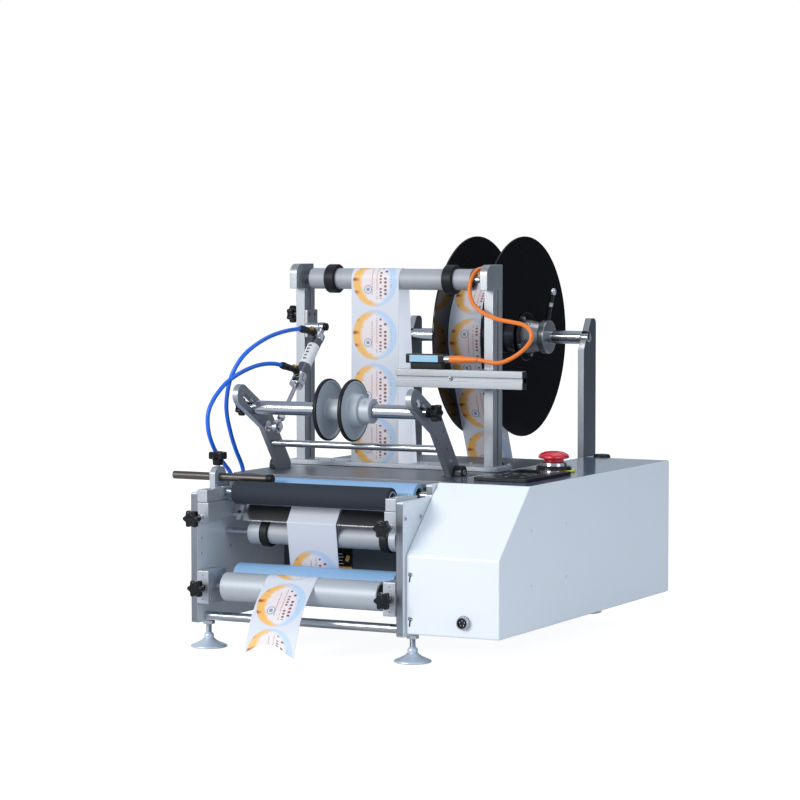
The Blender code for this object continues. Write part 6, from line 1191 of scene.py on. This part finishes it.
def label_group():
    """The print at a place on the web, given across its width and along it, in label pitches."""
    group, given, made = new_group(
        "label_print", (("Place", "Vector", None), ("Paper", "Color", (*LINER_COLOUR, 1))),
        (("Colour", "Color"), ("Raised", "Float")))
    links = group.links

    def calc(operation, *values):
        return maths(group, operation, *values)

    def inside(distance, radius, blur=0.5):
        """One inside a radius, none outside it, with a soft edge between."""
        edge = calc("DIVIDE", calc("SUBTRACT", radius, distance), blur)
        return calc("SMOOTH_MIN", 1.0, calc("MAXIMUM", 0.0, edge), 0.0)

    def both(a, b):
        return calc("MULTIPLY", a, b)

    def without(a):
        return calc("SUBTRACT", 1.0, a)

    def near(a, middle, half, blur=0.5):
        return inside(calc("ABSOLUTE", calc("SUBTRACT", a, middle)), half, blur)

    apart = group.nodes.new("ShaderNodeSeparateXYZ")
    links.new(given.outputs["Place"], apart.inputs[0])
    x = calc("MULTIPLY", calc("SUBTRACT", apart.outputs[0], 0.5), PITCH)
    y = calc("MULTIPLY", calc("SUBTRACT", calc("FRACT", apart.outputs[1]), 0.5), PITCH)

    def far(shift_x, shift_y):
        return from_axis(group, calc("SUBTRACT", x, shift_x), calc("SUBTRACT", y, shift_y))

    place = group.nodes.new("ShaderNodeCombineXYZ")
    links.new(x, place.inputs[0])
    links.new(y, place.inputs[1])
    wobble = noise(group, place.outputs[0], 0.16, 2.0)
    disc = inside(far(0, 0), LABEL_RADIUS)
    ragged = calc("MULTIPLY_ADD", calc("SUBTRACT", wobble, 0.5), 9.0, 35.0)
    amber = both(disc, without(inside(far(11, 0), ragged, 5.0)))
    blue = both(disc, without(inside(far(-10, 2), 37.0, 7.0)))
    blush = both(disc, inside(far(0, 0), 30.0, 24.0))
    petals = both(amber, inside(calc("PINGPONG", calc("ADD", y, 3.0), 9.0), 3.2, 2.0))
    petals = both(petals, inside(x, -23.0, 8.0))
    seal = both(inside(far(-11, 11), 6.4), without(inside(far(-11, 11), 5.2)))
    seal = both(calc("MAXIMUM", seal, inside(far(-11, 11), 3.0)), disc)
    ink = None
    for column, (middle, half, step, share, tall) in enumerate((
            (-4.5, 0.9, 2.2, 0.55, 20.0), (3.2, 0.9, 2.6, 0.5, 25.0), (9.0, 1.9, 4.6, 0.62, 24.0),
            (16.5, 2.2, 5.4, 0.66, 19.0), (25.5, 0.7, 2.0, 0.5, 9.0))):
        strip = both(near(x, middle, half, 0.4), near(y, 0.0, tall))
        beat = calc("DIVIDE", calc("ADD", y, 60.0), step)
        dash = inside(calc("FRACT", beat), share, 0.12)
        seed = calc("MULTIPLY_ADD", calc("FLOOR", beat), 12.9898, column * 7.3)
        chance = calc("FRACT", calc("MULTIPLY", calc("SINE", seed), 437.58))
        strip = both(strip, both(dash, calc("GREATER_THAN", chance, 0.14)))
        ink = strip if ink is None else calc("MAXIMUM", ink, strip)
    ink = both(both(ink, disc), without(both(amber, inside(x, -16.0, 1.0))))
    cut = both(inside(far(0, 0), LABEL_RADIUS + 0.6, 0.3), without(inside(far(0, 0), LABEL_RADIUS, 0.3)))
    colour = given.outputs["Paper"]
    for paint, mask in (((0.76, 0.73, 0.77), disc), ((0.80, 0.62, 0.60), both(blush, wobble)),
                        ((0.84, 0.47, 0.13), amber), ((0.36, 0.045, 0.012), petals),
                        ((0.46, 0.60, 0.80), blue), ((0.20, 0.30, 0.46), seal),
                        ((0.20, 0.075, 0.085), ink), ((0.58, 0.61, 0.68), cut)):
        colour = blended(group, mask, colour, paint)
    links.new(colour, made.inputs["Colour"])
    links.new(disc, made.inputs["Raised"])
    return group


LABEL_PRINT = label_group()


def paper(name, base, strength):
    """Glassine with the labels' print at the given strength, from the web's own coordinates."""
    made = finish(name, base, 0.42, 0.0, (500, 500, 500), 0.0, 0.04)
    tree = made.node_tree
    shader = tree.nodes["Principled BSDF"]
    where = tree.nodes.new("ShaderNodeUVMap")
    where.uv_map = "along_web"
    printed = tree.nodes.new("ShaderNodeGroup")
    printed.node_tree = LABEL_PRINT
    printed.inputs["Paper"].default_value = (*base, 1)
    tree.links.new(where.outputs[0], printed.inputs["Place"])
    grain = shader.inputs["Base Color"].links[0].from_socket
    tree.links.new(blended(tree, strength, grain, printed.outputs["Colour"]), shader.inputs["Base Color"])
    bumped(tree, printed.outputs["Raised"], 0.00008 * strength, 0.5)
    return made


PRINTED = paper("printed_labels", LINER_COLOUR, 1.0)
LINER_BACK_PAINTED_LIGHT = paper("liner_back_painted_light", (0.90, 0.915, 0.95), 0.1)
# Painted light: the liner's back is painted paler than its front and given a weak glow, though it is no lamp,
# standing in for light through the thin liner, so that its back is never quite dark.
painted_glow = LINER_BACK_PAINTED_LIGHT.node_tree.nodes["Principled BSDF"].inputs
painted_glow["Emission Color"].default_value = (0.88, 0.91, 0.97, 1)
painted_glow["Emission Strength"].default_value = 0.2
LINER_BARE = paper("bare_liner", LINER_COLOUR, 0.0)
ROLL_RADIUS = 102
PEEL_ROUND = 1.2
GAP_TO_ROLLERS = 0.5
# What the web runs round, from the roll to its free end: its place, its radius, and the way round.
STATIONS = ((*REEL, ROLL_RADIUS, 1), (*REAR_GUIDE, -1), (*RISING_GUIDE, -1), (*TOP_ROLLER, 1), (*WEB_BAR, -1),
            (*PEEL_BACK, PEEL_ROUND, 1), (*PEEL_FRONT, PEEL_ROUND, 1), (*DRIVE_ROLLER, -1),
            (*PINCH_ROLLER, 1), (-56, -27, 0, 1))
PEEL_BACK_AT, PEEL_EDGE_AT = 5, 6
DEGREES_A_STEP = 8
RUN_STEP = 9
FREE_END_BULGE = 9


def web_line():
    """The web's line in Y and Z, and the number of the point at which it reaches each station."""
    line, marks = [], []
    arrival = None
    for i, (here, after) in enumerate(zip(STATIONS, STATIONS[1:])):
        centre, target = Vector(here[:2]), Vector(after[:2])
        offset_a = here[3] * (here[2] + GAP_TO_ROLLERS)
        offset_b = after[3] * (after[2] + GAP_TO_ROLLERS)
        gap = target - centre
        heading = math.atan2(gap.y, gap.x) + math.asin((offset_a - offset_b) / gap.length)
        side = Vector((math.sin(heading), -math.cos(heading)))
        leave = centre + side * offset_a
        if arrival is None:
            marks.append(0)
            line.append(leave)
        else:
            start = math.atan2(arrival.y - centre.y, arrival.x - centre.x)
            end = math.atan2(leave.y - centre.y, leave.x - centre.x)
            turn = (end - start) * here[3] % (2 * math.pi)
            steps = max(2, round(math.degrees(turn) / DEGREES_A_STEP))
            marks.append(len(line) - 1)
            for k in range(1, steps + 1):
                angle = start + here[3] * turn * k / steps
                line.append(centre + Vector((math.cos(angle), math.sin(angle))) * abs(offset_a))
        arrival = target + side * offset_b
        steps = max(2, round((arrival - line[-1]).length / RUN_STEP))
        first = line[-1].copy()
        last_run = i == len(STATIONS) - 2
        for k in range(1, steps + 1):
            t = k / steps
            point = first.lerp(arrival, t)
            if last_run:
                point += side * (FREE_END_BULGE * math.sin(math.pi * t))
            line.append(point)
    marks.append(len(line) - 1)
    return line, marks


line, marks = web_line()
travelled = [0.0]
for a, b in zip(line, line[1:]):
    travelled.append(travelled[-1] + (b - a).length)
# Where the web's left edge lies along X: it shifts a little from one roller to the next.
STOPS = ((0, 127.9), (marks[1], 127.9), (marks[3], 95), (marks[4], 95), (marks[5], 118), (marks[6], 118),
         (marks[7], 110), (marks[8], 112), (len(line) - 1, 116))
WEB_WIDE = 75
HALF_THICK = 0.2


def left_edge(i):
    for (i0, x0), (i1, x1) in zip(STOPS, STOPS[1:]):
        if i <= i1:
            return x0 + (x1 - x0) * (travelled[i] - travelled[i0]) / (travelled[i1] - travelled[i0])


# The torn end: how far the last row is pulled back, from the left edge to the right one.
TORN = ((0, -1), (0.32, -15), (0.58, -14), (0.78, -5), (1, 2.5))
TORN_LENGTH = 40
# Where the first label lies, in pitches, on the web up to the peel plate and on the web past it.
PHASE = -0.425
PHASE_FRONT = 0.25
# The label just past the peel plate has already gone onto a bottle.
applied = math.floor((travelled[marks[PEEL_EDGE_AT]] + 14) / PITCH + PHASE_FRONT)
ACROSS = 12
whole = bmesh.new()
fronts, backs = [], []
for i, point in enumerate(line):
    ahead = (line[min(i + 1, len(line) - 1)] - line[max(i - 1, 0)]).normalized()
    side = Vector((ahead.y, -ahead.x))
    front, back = [], []
    for k in range(ACROSS + 1):
        share = k / ACROSS
        x = left_edge(i) + WEB_WIDE * share
        place = point.copy()
        remaining = travelled[-1] - travelled[i]
        if remaining < TORN_LENGTH:
            for (s0, pull0), (s1, pull1) in zip(TORN, TORN[1:]):
                if s0 <= share <= s1:
                    pull = pull0 + (pull1 - pull0) * (share - s0) / (s1 - s0)
                    place += ahead * (pull * (1 - remaining / TORN_LENGTH))
        front.append(whole.verts.new((x, *(place + side * HALF_THICK))))
        back.append(whole.verts.new((x, *(place - side * HALF_THICK))))
    fronts.append(front)
    backs.append(back)
layer = whole.loops.layers.uv.new("along_web")


def quad(corners, spots, slot):
    face = whole.faces.new(corners)
    face.material_index = slot
    for loop, spot in zip(face.loops, spots):
        loop[layer].uv = spot


def rim(ring, flip):
    quad(ring[::-1] if flip else ring, ((0, 0),) * 4, 2)


for i in range(len(line) - 1):
    past_peel = i >= marks[PEEL_BACK_AT]
    shift = PHASE_FRONT if past_peel else PHASE
    v0, v1 = travelled[i] / PITCH + shift, travelled[i + 1] / PITCH + shift
    bare = past_peel and math.floor((v0 + v1) / 2) == applied
    near_front, far_front, near_back, far_back = fronts[i], fronts[i + 1], backs[i], backs[i + 1]
    for k in range(ACROSS):
        u0, u1 = k / ACROSS, (k + 1) / ACROSS
        spots = ((u0, v0), (u0, v1), (u1, v1), (u1, v0))
        quad((near_front[k], far_front[k], far_front[k + 1], near_front[k + 1]), spots, 2 if bare else 0)
        quad((near_back[k], near_back[k + 1], far_back[k + 1], far_back[k]),
             (spots[0], spots[3], spots[2], spots[1]), 2 if bare else 1)
    for k, flip in ((0, True), (ACROSS, False)):
        rim((near_front[k], far_front[k], far_back[k], near_back[k]), flip)
for i, flip in ((0, False), (len(line) - 1, True)):
    for k in range(ACROSS):
        rim((fronts[i][k], fronts[i][k + 1], backs[i][k + 1], backs[i][k]), flip)
bmesh.ops.recalc_face_normals(whole, faces=whole.faces)
piece("printed_web", whole, (PRINTED, LINER_BACK_PAINTED_LIGHT, LINER_BARE), nodes=("label_web",))

# Label roll: the same web wound on its card core, its sides ringed by the turns.
turns = bpy.data.materials.new("wound_paper_edge")
turns.use_nodes = True
tree = turns.node_tree
where = tree.nodes.new("ShaderNodeTexCoord")
away = tree.nodes.new("ShaderNodeVectorMath")
away.operation = "SUBTRACT"
away.inputs[1].default_value = TO_FRAME @ Vector((0, *REEL))
tree.links.new(where.outputs["Object"], away.inputs[0])
apart = tree.nodes.new("ShaderNodeSeparateXYZ")
tree.links.new(away.outputs[0], apart.inputs[0])
out_from_core = from_axis(tree, apart.outputs[1], apart.outputs[2])
wave = maths(tree, "SINE", maths(tree, "MULTIPLY", out_from_core, 5200))
rings = maths(tree, "MULTIPLY_ADD", wave, 0.5, 0.5)
shader = tree.nodes["Principled BSDF"]
tree.links.new(blended(tree, rings, (0.50, 0.47, 0.44), (0.78, 0.77, 0.76)), shader.inputs["Base Color"])
shader.inputs["Roughness"].default_value = 0.7
ROLL = (127.7, 203.1)
whole = spun([(ROLL[0], 38.3), (ROLL[0], 101.6), (ROLL[0] + 0.4, ROLL_RADIUS), (ROLL[1] - 0.4, ROLL_RADIUS),
              (ROLL[1], 101.6), (ROLL[1], 38.3)], 120, True)
layer = whole.loops.layers.uv.new("along_web")
leaving = math.atan2(line[0].y - REEL[1], line[0].x - REEL[0]) % (2 * math.pi)
for face in whole.faces:
    middle = face.calc_center_median()
    face.material_index = 0 if abs(face.normal.x) < 0.5 else 1
    here = math.atan2(middle.z, middle.y)
    wound = (leaving - here) % (2 * math.pi)
    for loop in face.loops:
        spot = loop.vert.co
        step = (here - math.atan2(spot.z, spot.y) + math.pi) % (2 * math.pi) - math.pi
        loop[layer].uv = ((spot.x - ROLL[0]) / (ROLL[1] - ROLL[0]),
                          PHASE - (2 * math.pi - wound - step) * ROLL_RADIUS / PITCH)
bmesh.ops.transform(whole, matrix=reel_axis, verts=whole.verts)
piece("wound_label_roll", whole, (PRINTED, turns), "reel", ("label_roll",))

# Inside the casing: the drive motor with its gearbox, and the tray with the power supply.
BOARD_GREEN = finish("board_green", (0.03, 0.16, 0.07), 0.4, 0.1)
for node, coat in (("motor", STEEL), ("control_electronics", BOARD_GREEN)):
    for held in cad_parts[node].material_slots:
        held.material = coat
